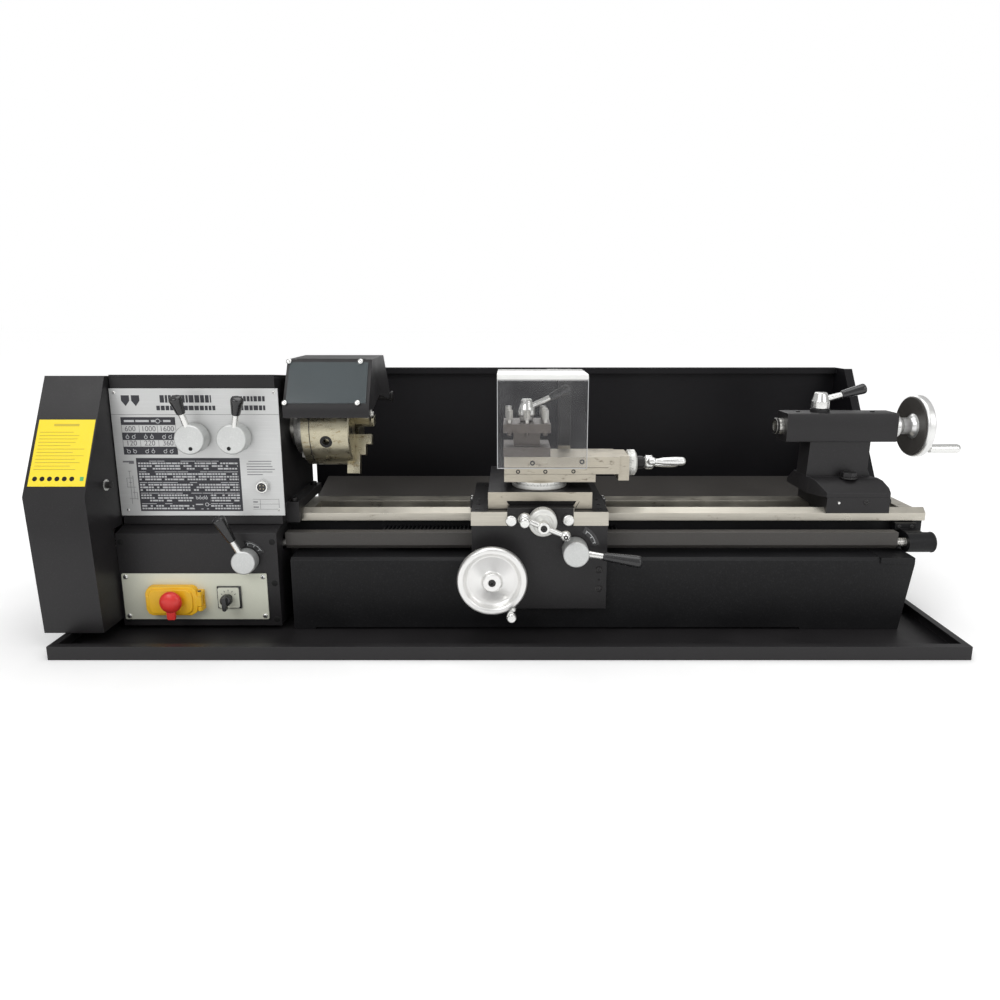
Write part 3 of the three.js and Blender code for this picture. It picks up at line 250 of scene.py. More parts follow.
def clear_material(name, colour, alpha, haze, scratches, paler_above=None):
    """A thin plastic sheet: mostly see-through, with haze and fine scratches that catch the light."""
    made = bpy.data.materials.new(name)
    made.use_nodes = True
    made.node_tree.nodes.clear()
    tree = Tree(made)
    lines = tree.noise(60, 6, (5.0, 1.0, 1.6), 0.8)
    specks = tree.noise(420, 2)
    marks = tree.maths("ADD", tree.span(lines, 0.66, 0.72, 0, scratches),
        tree.span(specks, 0.72, 0.78, 0, scratches))
    cloud = tree.span(tree.noise(16, 4), 0.35, 0.7, 0, haze)
    cover = tree.maths("ADD", tree.maths("ADD", marks, cloud), alpha)
    tint = tree.blend(tree.span(marks, 0, scratches, 0, 1), (*colour, 1), (0.9, 0.9, 0.9, 1))
    # Above the bend the sheet is paler and more opaque.
    if paler_above:
        paler_share = tree.span(tree.axis("Z"), paler_above - 0.002, paler_above + 0.002, 0, 1)
        cover = tree.maths("ADD", cover, tree.maths("MULTIPLY", paler_share, 0.7))
        tint = tree.blend(paler_share, tint, (0.88, 0.88, 0.86, 1))
    rough = tree.span(lines, 0.3, 0.7, 0.05, 0.2)
    node = tree.add("ShaderNodeBsdfPrincipled", {"Base Color": tint, "Alpha": cover,
        "Roughness": rough})
    node.inputs["Specular IOR Level"].default_value = 0.3
    tree.add("ShaderNodeOutputMaterial", {"Surface": node.outputs[0]})
    return made


ALONG_X = (0.02, 1, 1)
FINISHES = {
    "black_paint": Finish((0.016, 0.015, 0.016), 0.43, spec=0.35, grain=900, bump=0.22,
        depth=0.0003, edge=(0.10, 0.10, 0.105), edge_share=0.55, mottle=0.16, rough_swing=0.06),
    "bed_paint": Finish((0.0085, 0.0085, 0.0095), 0.5, spec=0.25, grain=420, bump=0.3, depth=0.0006,
        edge=(0.07, 0.07, 0.072), edge_share=0.4, mottle=0.2, blotch=9),
    "guard_paint": Finish((0.007, 0.0065, 0.008), 0.5, grain=900, bump=0.15,
        edge=(0.05, 0.05, 0.052), edge_share=0.4, mottle=0.2, spec=0.2, blotch=5),
    "grey_paint": Finish((0.060, 0.056, 0.052), 0.42, spec=0.35, grain=800, bump=0.15,
        edge=(0.2, 0.2, 0.2), blotch=10),
    "ground_steel": Finish((0.56, 0.53, 0.46), 0.36, 0.85, dirt=(0.20, 0.16, 0.11), dirt_share=0.25,
        grain=900, stretch=ALONG_X, bump=0.10, edge=(0.8, 0.78, 0.72), edge_share=0.35, blotch=20),
    "slide_steel": Finish((0.50, 0.46, 0.38), 0.42, 0.75, dirt=(0.10, 0.075, 0.05), dirt_share=0.32,
        grain=1000, stretch=(0.05, 1, 1), bump=0.12, edge=(0.75, 0.72, 0.64), edge_share=0.4,
        blotch=34),
    "chuck_steel": Finish((0.50, 0.46, 0.34), 0.30, 0.95, dirt=(0.22, 0.15, 0.06), dirt_share=0.42,
        grain=1300, stretch=(0.1, 1, 1), bump=0.14, edge=(0.8, 0.78, 0.66), blotch=46),
    "turned_steel": Finish((0.62, 0.61, 0.58), 0.30, 0.95, grain=1200, bump=0.1,
        dirt=(0.2, 0.17, 0.12), dirt_share=0.1),
    "alloy": Finish((0.80, 0.80, 0.78), 0.26, 0.9, grain=1500, bump=0.06, mottle=0.05,
        edge=(0.95, 0.95, 0.95), rough_swing=0.05),
    "wheel_face": Finish((0.86, 0.855, 0.84), 0.34, 0.85, grain=1500, bump=0.10, depth=0.0001,
        mottle=0.04, rings="Y", rough_swing=0.04),
    "wheel_side": Finish((0.80, 0.80, 0.79), 0.34, 0.85, grain=1500, bump=0.10, depth=0.0001,
        mottle=0.04, rings="X", rough_swing=0.04),
    "cast_alloy": Finish((0.62, 0.63, 0.62), 0.42, 0.7, grain=650, bump=0.25, depth=0.0003,
        mottle=0.08, edge=(0.9, 0.9, 0.9), edge_share=0.6),
    "black_steel": Finish((0.022, 0.021, 0.021), 0.36, 0.4, spec=0.35, grain=800, bump=0.1,
        edge=(0.25, 0.25, 0.25)),
    "panel_plate": Finish((0.60, 0.605, 0.60), 0.40, 0.45, grain=900, stretch=ALONG_X, bump=0.05,
        mottle=0.05, blotch=12, edge=(0.9, 0.9, 0.9)),
    "pale_plate": Finish((0.68, 0.69, 0.58), 0.48, 0.1, grain=900, bump=0.05, mottle=0.03,
        blotch=12, edge=(0.9, 0.9, 0.85)),
    "print_black": Finish((0.045, 0.045, 0.052), 0.5, spec=0.25, grain=900, bump=0.03, mottle=0.1),
    "print_pale": Finish((0.52, 0.53, 0.54), 0.45, grain=900, bump=0.03, mottle=0.1),
    "print_grey": Finish((0.14, 0.14, 0.15), 0.45, grain=900, bump=0.03, mottle=0.1),
    "yellow_film": Finish((0.86, 0.66, 0.004), 0.5, spec=0.3, grain=600, bump=0.04, mottle=0.03,
        coat=0.2),
    "yellow_ink": Finish((0.56, 0.42, 0.012), 0.45, grain=600, bump=0.02, mottle=0.05),
    "yellow_plastic": Finish((0.88, 0.50, 0.015), 0.36, grain=700, bump=0.10, mottle=0.05,
        edge=(0.95, 0.66, 0.2)),
    "red_plastic": Finish((0.72, 0.035, 0.03), 0.34, grain=700, bump=0.08, mottle=0.05,
        edge=(0.9, 0.2, 0.15)),
    "grip_plastic": Finish((0.014, 0.014, 0.015), 0.24, grain=500, bump=0.05, mottle=0.2,
        edge=(0.1, 0.1, 0.1), coat=0.3),
    "belt_rubber": Finish((0.02, 0.02, 0.02), 0.7, grain=900, bump=0.3, mottle=0.2),
    "scale_white": Finish((0.74, 0.74, 0.71), 0.38, 0.5, grain=1000, bump=0.05, mottle=0.06,
        dirt=(0.3, 0.27, 0.2), dirt_share=0.12),
    "ink": Finish((0.012, 0.012, 0.012), 0.6, grain=900, bump=0.02, spec=0.2),
    "label_green": Finish((0.06, 0.42, 0.12), 0.45, grain=600, bump=0.02),
}
DARK_STEEL = Finish((0.115, 0.10, 0.09), 0.42, 0.6, dirt=(0.03, 0.025, 0.02), dirt_share=0.3, grain=900,
    bump=0.15, edge=(0.5, 0.46, 0.42), edge_share=0.7, blotch=40)

M = {name: material(name, finish) for name, finish in FINISHES.items()}
SHIELD_BEND = 0.385
M["clear_sheet"] = clear_material("clear_sheet", (0.34, 0.34, 0.35), 0.05, 0.08, 0.22, SHIELD_BEND)
M["smoked_sheet"] = clear_material("smoked_sheet", (0.15, 0.18, 0.19), 0.24, 0.05, 0.05)


def step(tree, value, edge, width=0.0003):
    """0 below an edge and 1 above it."""
    return tree.span(value, edge - width, edge + width, 0, 1)


WAY_UNDER = 0.1578


def bed_mask(tree):
    return step(tree, tree.axis("Z"), WAY_UNDER, 0.0006)


def front_steel(front, inner=None):
    """A mask that is 1 on the front face only, and not between the inner X values."""
    def mask(tree):
        share = tree.maths("SUBTRACT", 1.0, step(tree, tree.axis("Y"), front + 0.0006))
        if inner:
            x = tree.axis("X")
            within = tree.maths("MULTIPLY", step(tree, x, inner[0]),
                tree.maths("SUBTRACT", 1.0, step(tree, x, inner[1])))
            share = tree.maths("MULTIPLY", share, tree.maths("SUBTRACT", 1.0, within))
        return share
    return mask


saddle_low, saddle_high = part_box("saddle")
boss_middle = (saddle_low.x + saddle_high.x) / 2 + 0.0015
M["bed"] = material("bed", FINISHES["bed_paint"], FINISHES["ground_steel"], bed_mask)
M["saddle"] = material("saddle", FINISHES["black_steel"], FINISHES["ground_steel"],
    front_steel(-0.156, (boss_middle - 0.0495, boss_middle + 0.0485)))
M["cross_slide"] = material("cross_slide", FINISHES["black_paint"], FINISHES["slide_steel"],
    front_steel(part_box("cross_slide")[0].y))
POST_HEIGHT = 0.0495
post_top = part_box("tool_post")[0].z + POST_HEIGHT
M["tool_post"] = material("tool_post", DARK_STEEL, FINISHES["turned_steel"],
    lambda tree: step(tree, tree.axis("Z"), post_top))

SLIDE_TOP = 0.2705
M["top_slide"] = material("top_slide", FINISHES["slide_steel"], FINISHES["black_steel"],
    lambda tree: step(tree, tree.axis("Z"), SLIDE_TOP))

CAD_FINISH = {
    "guard_paint": ["splash_guard"],
    "black_paint": ["chip_tray", "headstock_casting", "headstock_top_cover", "control_box",
        "gear_cover", "chuck_guard", "apron", "tailstock_base", "tailstock_body", "motor_plate"],
    "grey_paint": ["chip_deflector", "lead_screw_guard", "motor_housing"],
    "panel_plate": ["control_panel"],
    "pale_plate": ["switch_plate"],
    "turned_steel": ["spindle", "spindle_bearing_rear", "spindle_bearing_front", "spindle_gear",
        "change_gear_driver", "change_gear_idler", "input_shaft", "motor_pulley", "lead_screw",
        "rack_pinion", "half_nut", "quill"],
    "chuck_steel": ["chuck_backplate", "chuck_body", "chuck_jaw_1", "chuck_jaw_2", "chuck_jaw_3"],
    "bed_paint": ["lead_screw_bracket", "feed_rack"],
    "belt_rubber": ["drive_belt"],
    "yellow_plastic": ["stop_switch_base"],
    "slide_steel": ["compound_base"],
    "top_slide": ["top_slide"],
    "bed": ["bed"],
    "saddle": ["saddle"],
    "cross_slide": ["cross_slide"],
    "tool_post": ["tool_post"],
    "clear_sheet": ["tool_shield"],
    "smoked_sheet": ["guard_window"],
}


def finish_cad(node, mat):
    """Gives a CAD node its material, welds its facets and shades its round faces smooth."""
    obj = nodes[node]
    data = obj.data
    data.materials.clear()
    data.materials.append(mat)
    if "custom_normal" in data.attributes:
        data.attributes.remove(data.attributes["custom_normal"])
    for face in data.polygons:
        face.use_smooth = True
        face.material_index = 0
    weld = obj.modifiers.new("weld", "WELD")
    weld.merge_threshold = WELD_BELOW
    split = obj.modifiers.new("split", "EDGE_SPLIT")
    split.split_angle = SMOOTH_BELOW


for finish_name, members in CAD_FINISH.items():
    for member in members:
        finish_cad(member, M[finish_name])


# ------------------------------------------------------------------ shapes in millimetres
def merged(*shapes):
    """Several (points, faces) shapes as one."""
    points, faces = [], []
    for more_points, more_faces in shapes:
        base = len(points)
        points += more_points
        faces += [[i + base for i in face] for face in more_faces]
    return points, faces


def placed(shape, matrix):
    points, faces = shape
    return [matrix @ Vector(p) for p in points], faces


def at(x, y, z):
    return Matrix.Translation((x, y, z))


def turn(degrees, axis):
    return Matrix.Rotation(math.radians(degrees), 4, axis)


AXIS_TURN = {"z": Matrix.Identity(4), "x": turn(90, "Y"), "y": turn(-90, "X")}


def turned(axis, profile, sides=64):
    """A turned shape from [place along the axis, radius] points, closed where the radius is 0."""
    points, faces, rows = [], [], []
    for place, radius in profile:
        if radius < 1e-6:
            rows.append([len(points)])
            points.append(Vector((0, 0, place)))
            continue
        rows.append(list(range(len(points), len(points) + sides)))
        for i in range(sides):
            angle = 2 * math.pi * i / sides
            points.append(Vector((radius * math.cos(angle), radius * math.sin(angle), place)))
    for low, high in zip(rows, rows[1:]):
        for i in range(sides):
            j = (i + 1) % sides
            if len(low) == 1 and len(high) == 1:
                continue
            if len(low) == 1:
                faces.append([low[0], high[j], high[i]])
            elif len(high) == 1:
                faces.append([low[i], low[j], high[0]])
            else:
                faces.append([low[i], low[j], high[j], high[i]])
    return placed((points, faces), AXIS_TURN[axis])


def rounded(profile, radius=0.8, steps=3):
    """The profile with its corners rounded."""
    out = [profile[0]]
    for before, corner, after in zip(profile, profile[1:], profile[2:]):
        c = Vector(corner)
        back, on = Vector(before) - c, Vector(after) - c
        reach = min(radius, back.length * 0.45, on.length * 0.45)
        if reach < 1e-3 or corner[1] < 1e-6:
            out.append(corner)
            continue
        a, b = c + back.normalized() * reach, c + on.normalized() * reach
        for i in range(steps + 1):
            t = i / steps
            p = a * (1 - t) ** 2 + c * 2 * t * (1 - t) + b * t * t
            out.append((p.x, max(p.y, 0)))
    out.append(profile[-1])
    return out


def lathe(axis, profile, place, soft=0.0, sides=48, steps=3):
    """A turned shape at a place, with the corners of its profile rounded where soft is set."""
    return placed(turned(axis, rounded(profile, soft, steps) if soft else profile, sides), at(*place))


def box(x0, x1, y0, y1, z0, z1):
    points = [Vector((x, y, z)) for x in (x0, x1) for y in (y0, y1) for z in (z0, z1)]
    faces = [[0, 1, 3, 2], [4, 6, 7, 5], [0, 4, 5, 1], [2, 3, 7, 6], [0, 2, 6, 4], [1, 5, 7, 3]]
    return points, faces


def prism(axis, outline, start, end):
    """An outline of two coordinates pushed along the remaining axis."""
    def point(a, b, along):
        return Vector({"x": (along, a, b), "y": (a, along, b), "z": (a, b, along)}[axis])
    count = len(outline)
    points = [point(a, b, along) for along in (start, end) for a, b in outline]
    faces = [list(range(count)), list(range(2 * count - 1, count - 1, -1))]
    for i in range(count):
        j = (i + 1) % count
        faces.append([i, j, j + count, i + count])
    return points, faces


def piece(name, shape, mat, body="machine", origin=(0, 0, 0), replaces=(), bevel=0.0):
    """A named piece that rides on a body, with its own origin so that its finish turns about it."""
    bm = bmesh.new()
    points, faces = shape
    centre = Vector(origin)
    verts = [bm.verts.new((Vector(p) - centre) * MM) for p in points]
    for face in faces:
        try:
            bm.faces.new([verts[i] for i in face])
        except ValueError:
            continue
    bmesh.ops.remove_doubles(bm, verts=bm.verts, dist=1e-6)
    bmesh.ops.recalc_face_normals(bm, faces=bm.faces)
    data = bpy.data.meshes.new(name)
    bm.to_mesh(data)
    bm.free()
    for face in data.polygons:
        face.use_smooth = True
    data.set_sharp_from_angle(angle=SMOOTH_BELOW)
    data.materials.append(M[mat])
    obj = bpy.data.objects.new(name, data)
    obj.location = centre * MM
    scene.collection.objects.link(obj)
    if bevel:
        soft = obj.modifiers.new("soft_edges", "BEVEL")
        soft.width = bevel * MM
        soft.segments = 2
        soft.limit_method = "ANGLE"
        soft.angle_limit = math.radians(40)
        soft.harden_normals = True
    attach(obj, body)
    if replaces:
        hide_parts(*replaces)
    return obj


def hexagon(radius):
    return [(radius * math.cos(math.radians(a)), radius * math.sin(math.radians(a)))
        for a in range(0, 360, 60)]


def socket_head(radius, height, hole=0.52):
    """A socket-head screw's head along +Z from 0, with its recess."""
    rim = height - 0.14 * radius
    head = turned("z", [(0, radius * 0.98), (rim, radius), (height, radius * 0.86),
        (height, radius * hole)], 28)
    points, faces = prism("z", hexagon(radius * hole), height * 0.35, height)
    walls = points, [faces[0]] + faces[2:]
    lip = turned("z", [(height, radius * hole), (height - 0.01, radius * hole * 0.86)], 24)
    return merged(head, walls, lip)


def pan_head(radius, height):
    """A domed cross-head screw along +Z from 0."""
    dome = [(0, radius), (height * 0.45, radius), (height * 0.85, radius * 0.7), (height, radius * 0.3),
        (height, 0)]
    return turned("z", rounded(dome, radius * 0.3), 24)


def cross_recess_shade(radius, height):
    """The dark cross in a pan head: painted shade in its cross recess."""
    w = radius * 0.14
    return merged(box(-radius * 0.5, radius * 0.5, -w, w, height - 0.1, height + 0.06),
        box(-w, w, -radius * 0.5, radius * 0.5, height - 0.1, height + 0.06))


def hex_head(radius, height):
    """A hexagon bolt head on its washer face, along +Z from 0."""
    washer = turned("z", [(0, 0), (0, radius * 1.55), (radius * 0.22, radius * 1.55),
        (radius * 0.22, 0)], 32)
    crown = turned("z", [(height - 0.3, radius * 0.84), (height, radius * 0.78), (height, 0)], 28)
    return merged(washer, prism("z", hexagon(radius), radius * 0.2, height - 0.2), crown)


FACING = {"front": turn(90, "X"), "right": turn(90, "Y"), "left": turn(-90, "Y"),
    "up": Matrix.Identity(4), "back": turn(-90, "X")}


def heads(places, kind, facing):
    """The same head at several places, facing one way."""
    return merged(*[placed(kind, at(*p) @ FACING[facing]) for p in places])


def cross_screws(name, places, radius, height):
    """Cross-head screws on a front face, with dark crosses that paint the shade in their recesses."""
    piece(name + "_screws", heads(places, pan_head(radius, height), "front"), "alloy")
    piece(name + "_screw_recess_shade", heads(places, cross_recess_shade(radius, height), "front"), "ink")


# ------------------------------------------------------------------ levers
def lever_frame(centre, out, tilt, lean, axis="Y"):
    """Where an arm stands: its own +Z runs along the arm."""
    if axis == "Y":
        return at(*centre) @ turn(lean, "Y") @ at(0, out, 0) @ turn(tilt, "X")
    return at(*centre) @ at(0, 0, out) @ turn(lean, "Y")


def round_arm(stations, sides=32):
    first, last = stations[0][0], stations[-1][0]
    return turned("z", [(first, 0), *stations, (last, 0)], sides)


def grip(start, end, thin, thick):
    """A tapered black plastic grip with a collar and a round end."""
    profile = [(start, 0), (start, thin - 0.6), (start + 1.2, thin), (end - 6, thick),
        (end - 2.5, thick - 0.4), (end - 0.6, thick * 0.62), (end, 0)]
    return turned("z", rounded(profile, 1.6), 40)


def knob_lever(name, centre, hub, arm_frame, arm_stations, grip_sizes, marks=None):
    """A turned hub, a bright arm and a black grip, in place of one CAD node."""
    arm, end = placed(round_arm(arm_stations), arm_frame), placed(grip(*grip_sizes), arm_frame)
    piece(name + "_hub", lathe("y", hub, centre, 1.4, 72), "cast_alloy", name, centre,
        replaces=(name,))
    piece(name + "_arm", arm, "alloy", name, centre)
    piece(name + "_grip", end, "grip_plastic", name, centre)
    # marks, when given, is a dark disc painting the shade in a hole of the hub.
    if marks:
        piece(name + "_mark", marks, "ink", name, centre)


def upright_lever(name, centre, hub, soft, arm_frame, arm_stations, grip_sizes):
    """A lever on a hub that turns about Z, in place of one CAD node."""
    arm, end = placed(round_arm(arm_stations), arm_frame), placed(grip(*grip_sizes), arm_frame)
    piece(name + "_hub", lathe("z", hub, centre, soft, 56), "alloy", name, centre,
        replaces=(name,))
    piece(name + "_arm", arm, "alloy", name)
    piece(name + "_grip", end, "grip_plastic", name)


for side, lean in (("left", -9), ("right", 16)):
    node = "speed_lever_" + side
    where = pivot(node + "_turn")
    centre = (where.x, span("headstock_casting")[0].y - 2.3, where.z)
    hub = [(-27, 0), (-27, 20.4), (-25.4, 22), (-3, 22), (-2, 19), (-2, 6), (14, 6), (14, 0)]
    # A dark disc on the hub's front paints the shade in its hole.
    hole = placed(turned("y", [(-27.25, 0), (-27.25, 2.9), (-26.5, 3.0)], 24),
        at(*centre) @ turn(lean, "Y") @ at(0, 0, -13.5))
    knob_lever(node, centre, hub, lever_frame(centre, -16, 18, lean),
        [(12, 5.2), (31, 4.6), (43, 4.6)], (41, 69, 6.4, 9.2), marks=hole)

where = pivot("feed_lever_turn")
feed_centre = (where.x, span("control_box")[0].y, where.z)
hub = [(-22, 0), (-22, 16.4), (-20.6, 18), (-2.5, 18), (-1.2, 16), (-1.2, 5.5), (14, 5.5), (14, 0)]
knob_lever("feed_lever", feed_centre, hub, lever_frame(feed_centre, -12, 14, -21),
    [(10, 4.8), (40, 4.2), (41, 4.2)], (38, 81, 6.2, 9.4))

where = pivot("half_nut_lever_turn")
nut_centre = (where.x, span("apron")[0].y, where.z)
hub = [(-33, 0), (-33, 17.5), (-31.5, 19), (-3, 19), (-1.2, 17), (-1.2, 7), (8, 7), (8, 0)]
knob_lever("half_nut_lever", nut_centre, hub, lever_frame(nut_centre, -18, 7, 97),
    [(8, 5.6), (39, 4.6), (43, 4.6)], (40, 97, 6.0, 9.2))

post_centre = pivot("tool_post_lever_turn")
post_high = span("tool_post")[1].z
clamp_top = (post_centre.x, post_centre.y, post_high - 8)
hub = [(-11, 0), (-11, 10.5), (-4, 10.5), (-3, 12.8), (6, 12.8), (15, 9.2), (20, 8.6), (22, 6.5),
    (22, 0)]
arm_at = lever_frame((post_centre.x, post_centre.y, post_high - 1.3), 0, 0, 64, "Z")
upright_lever("tool_post_lever", clamp_top, hub, 1.5, arm_at, [(7, 5), (30, 4.2), (42, 4.2)],
    (39, 72, 5.6, 8))

lock = pivot("quill_lock_turn")
lock_low = span("quill_lock")[0].z
lock_centre = (lock.x, lock.y, lock_low)
hub = [(0, 0), (0, 13), (1.2, 13.6), (12, 13.6), (13, 13), (24, 10), (26, 8.5), (26, 0)]
arm_at = lever_frame((lock.x, lock.y, lock_low + 12.6), 0, 0, 74, "Z")
upright_lever("quill_lock", lock_centre, hub, 1.2, arm_at, [(7, 5.2), (34, 4.4), (37, 4.4)],
    (34, 74, 6.2, 8.6))

# ------------------------------------------------------------------ handwheels and cranks
wheel = pivot("apron_handwheel_turn")
wheel_low = span("apron_handwheel")[0].y
wheel_centre = (wheel.x, wheel_low + 10, wheel.z)
dish = [(-8.6, 0), (-8.6, 5), (-10, 5.2), (-10, 12.4), (-8.6, 13.6), (-4, 15), (3, 36), (1, 38.5),
    (-5.5, 41), (-7, 44), (-6.4, 49), (-3, 51), (4, 50.8), (6, 49), (6, 42), (7, 30), (8, 16), (38, 16),
    (38, 6), (45, 6), (45, 0)]
piece("apron_handwheel_dish", lathe("y", dish, wheel_centre, 1.4, 128, 4), "wheel_face",
    "apron_handwheel", wheel_centre, replaces=("apron_handwheel",))
piece("apron_wheel_screw", heads([(wheel_centre[0], wheel_centre[1] - 8.4, wheel_centre[2])],
    socket_head(4.6, 3.4), "front"), "black_steel", "apron_handwheel", wheel_centre)
spin = pivot("apron_wheel_handle_spin")
handle_low = span("apron_wheel_handle")[0].y
handle_centre = (spin.x, handle_low, spin.z)
handle = [(0.8, 0), (0, 3.2), (0.4, 5.6), (4, 7.4), (10, 6.6), (15, 5.8), (19, 4.4), (19, 0)]
piece("apron_wheel_handle_turned", lathe("y", handle, handle_centre, 1.5), "alloy",
    "apron_wheel_handle", handle_centre, replaces=("apron_wheel_handle",))
lug_at = at(wheel.x, wheel_low + 11, wheel.z) @ turn(147.5, "Y")
piece("apron_wheel_lug", placed(round_arm([(40, 6.8), (52, 7.2), (56, 6.0)]), lug_at), "alloy",
    "apron_handwheel", wheel_centre)

crank = pivot("cross_feed_screw_turn")
crank_front = span("cross_feed_screw")[0].y + 60
crank_centre = (crank.x, crank_front, crank.z)


def ball(radius, x, y, z, sides=36):
    profile = [(-radius * math.cos(math.pi * i / 18), radius * math.sin(math.pi * i / 18))
        for i in range(19)]
    return lathe("z", profile, (x, y, z), sides=sides)


crank_hub = lathe("y", [(-46, 0), (-46, 8.6), (-33, 9.2), (-25, 7), (-22, 7)], crank_centre, 1.2)
crank_arms = [placed(round_arm([(2, 4.6), (length, 3.3)]),
    at(*crank_centre) @ turn(lean, "Y") @ at(0, -38, 0)) for length, lean in ((29, -67), (33, 113))]
crank_balls = [placed(ball(*place), at(*crank_centre))
    for place in ((9.4, -27, -38, 11.5), (7.6, 31, -38, -13))]
piece("cross_crank", merged(crank_hub, *crank_arms, *crank_balls), "alloy", "cross_feed_screw",
    crank_centre, replaces=("cross_feed_screw",))
crank_grip = [(-60, 0), (-60, 5.4), (-57.5, 7.6), (-51, 6.6), (-44, 4.6), (-40, 4.6)]
piece("cross_crank_handle", placed(turned("y", rounded(crank_grip, 1.5), 40),
    at(*crank_centre) @ at(-27, 0, 11.5)), "alloy", "cross_feed_screw", crank_centre)
piece("cross_crank_screws", merged(heads([(crank_centre[0], crank_front - 46.2, crank_centre[2])],
    socket_head(4.8, 1.4), "front"),
    heads([(crank_centre[0] + 31, crank_front - 45, crank_centre[2] - 13)], socket_head(3.4, 1.2),
    "front")), "black_steel", "cross_feed_screw", crank_centre)
dial = [(-25.4, 12), (-25.4, 13.5), (-20, 14.5), (-18.4, 19.4), (-17, 20.5), (-2, 20.5), (-1, 19.6),
    (-1, 5)]
piece("cross_dial", merged(lathe("y", dial, crank_centre, 0.8, 96),
    lathe("y", [(-25.4, 12), (-25.4, 7)], crank_centre)), "scale_white", "cross_feed_screw",
    crank_centre)
piece("cross_screw_shaft", lathe("y", [(-3, 5), (164, 5), (165, 4.4), (165, 0)], crank_centre,
    sides=32), "turned_steel", "cross_feed_screw", crank_centre)


def dial_marks(count, radius, start, short, long, width=0.35, every=5):
    """Fine raised lines round a dial along +Z."""
    lines = []
    for i in range(count):
        length = long if i % every == 0 else short
        line = box(radius - 0.3, radius + 0.12, -width / 2, width / 2, start, start + length)
        lines.append(placed(line, turn(360 * i / count, "Z")))
    return merged(*lines)


piece("cross_dial_marks", placed(dial_marks(50, 20.5, 7, 4, 7), at(*crank_centre) @ turn(90, "X")),
    "ink", "cross_feed_screw", crank_centre)

swivel = pivot("compound_swivel")
ring_low = span("compound_base")[0].z
ring = (swivel.x, swivel.y, ring_low)
band = [(0.4, 38), (0.4, 42.05), (1.4, 42.3), (11, 42.3), (12, 41.6), (12, 38)]
piece("swivel_scale", lathe("z", band, ring, 0.5, 128), "scale_white", "compound_base", ring)
piece("swivel_marks", placed(dial_marks(120, 42.3, 6.4, 2.6, 4.6, 0.5, 5), at(*ring)), "ink",
    "compound_base", ring)

screw = pivot("compound_screw_turn")
screw_x = span("compound_screw")[0].x + 110
screw_centre = (screw_x, screw.y, screw.z)
dial = [(0.5, 5), (0.5, 19.2), (1.4, 20), (11.5, 20), (12.4, 19), (15, 15), (15, 9)]
piece("compound_dial", lathe("x", dial, screw_centre, 0.7, 96), "scale_white", "compound_screw",
    screw_centre, replaces=("compound_screw",))
piece("compound_dial_marks", placed(dial_marks(50, 20, 1.5, 4, 7), at(*screw_centre) @ turn(90, "Y")),
    "ink", "compound_screw", screw_centre)
piece("compound_collar", lathe("x", [(14, 9), (15, 10), (25, 10), (27, 8), (29, 5)], screw_centre, 0.8,
    40), "black_steel", "compound_screw", screw_centre)
handles = [lathe("x", [(27, 0), (27, 8), (30, 11), (39, 11), (41.5, 8.5), (41.5, 0)], screw_centre, 1)]
for angle in (75, -105):
    stand = at(*screw_centre) @ turn(angle, "X")
    handles.append(placed(round_arm([(0, 4.2), (25, 3.6)]), stand @ at(34, 0, 0)))
    shank = [(30, 0), (30, 5), (31, 5.6), (38, 5.6), (41, 3.8), (46, 4.2), (52, 5.6), (70, 6.4),
        (82, 6), (85, 4), (85, 0)]
    handles.append(placed(turned("x", rounded(shank, 1.2), 40), stand @ at(0, 0, 25)))
piece("compound_crank", merged(*handles), "alloy", "compound_screw", screw_centre)
piece("compound_shaft", lathe("x", [(-110, 0), (-110, 4.4), (-109, 5), (2, 5)], screw_centre, sides=32),
    "turned_steel", "compound_screw", screw_centre)

tail = pivot("tailstock_handwheel_turn")
face = span("tailstock_body")[1].x
tail_centre = (face, tail.y, tail.z)
dish = [(0.5, 0), (0.5, 17.2), (1.4, 18), (9, 18), (10.5, 17), (12, 14.5), (15, 13.4), (28, 13.4),
    (33, 16), (35.4, 20), (33.5, 34), (32, 43.4), (33.2, 48.4), (36, 50), (44.5, 49.8), (46, 48.6),
    (46, 44.5), (44.5, 43), (43, 34), (44, 21), (50, 15), (53.5, 13), (54.6, 11.5), (54.6, 0)]
piece("tailstock_wheel_dish", lathe("x", dish, tail_centre, 1.3, 128, 4), "wheel_side",
    "tailstock_handwheel", tail_centre, replaces=("tailstock_handwheel",))
well = [(34.9, 20.5), (33.2, 34), (31.4, 42.6), (31.2, 46), (32.2, 47.6)]
piece("tailstock_wheel_well", lathe("x", [(a - 0.35, r) for a, r in well], tail_centre, sides=128),
    "grey_paint", "tailstock_handwheel", tail_centre)
piece("tailstock_wheel_shaft", lathe("x", [(-96, 0), (-96, 5), (-95, 5.8), (1, 5.8)], tail_centre,
    sides=32), "turned_steel", "tailstock_handwheel", tail_centre)
piece("tailstock_dial_marks", placed(dial_marks(40, 18, 2, 3, 5.5), at(*tail_centre) @ turn(90, "Y")),
    "ink", "tailstock_handwheel", tail_centre)
spin = pivot("tailstock_wheel_handle_spin")
low = span("tailstock_wheel_handle")[0].x
tail_handle = (low, spin.y, spin.z)
shank = [(0, 0), (0, 4), (4.4, 4.2), (5, 6.4), (7, 6.9), (40, 7.3), (50, 7.3), (53, 6.4), (54, 4.6),
    (54, 0)]
piece("tailstock_wheel_grip", lathe("x", shank, tail_handle, 1.2), "alloy", "tailstock_wheel_handle",
    tail_handle, replaces=("tailstock_wheel_handle",))
quill_low = span("quill")[0].x
ring_shape = [(-0.4, 9), (-0.4, 12.2), (0.8, 13.25), (4, 13.25), (4.6, 13.05)]
piece("quill_mouth", lathe("x", ring_shape, (quill_low, tail.y, tail.z), 0.5, 64), "black_steel",
    "quill", (quill_low, tail.y, tail.z))

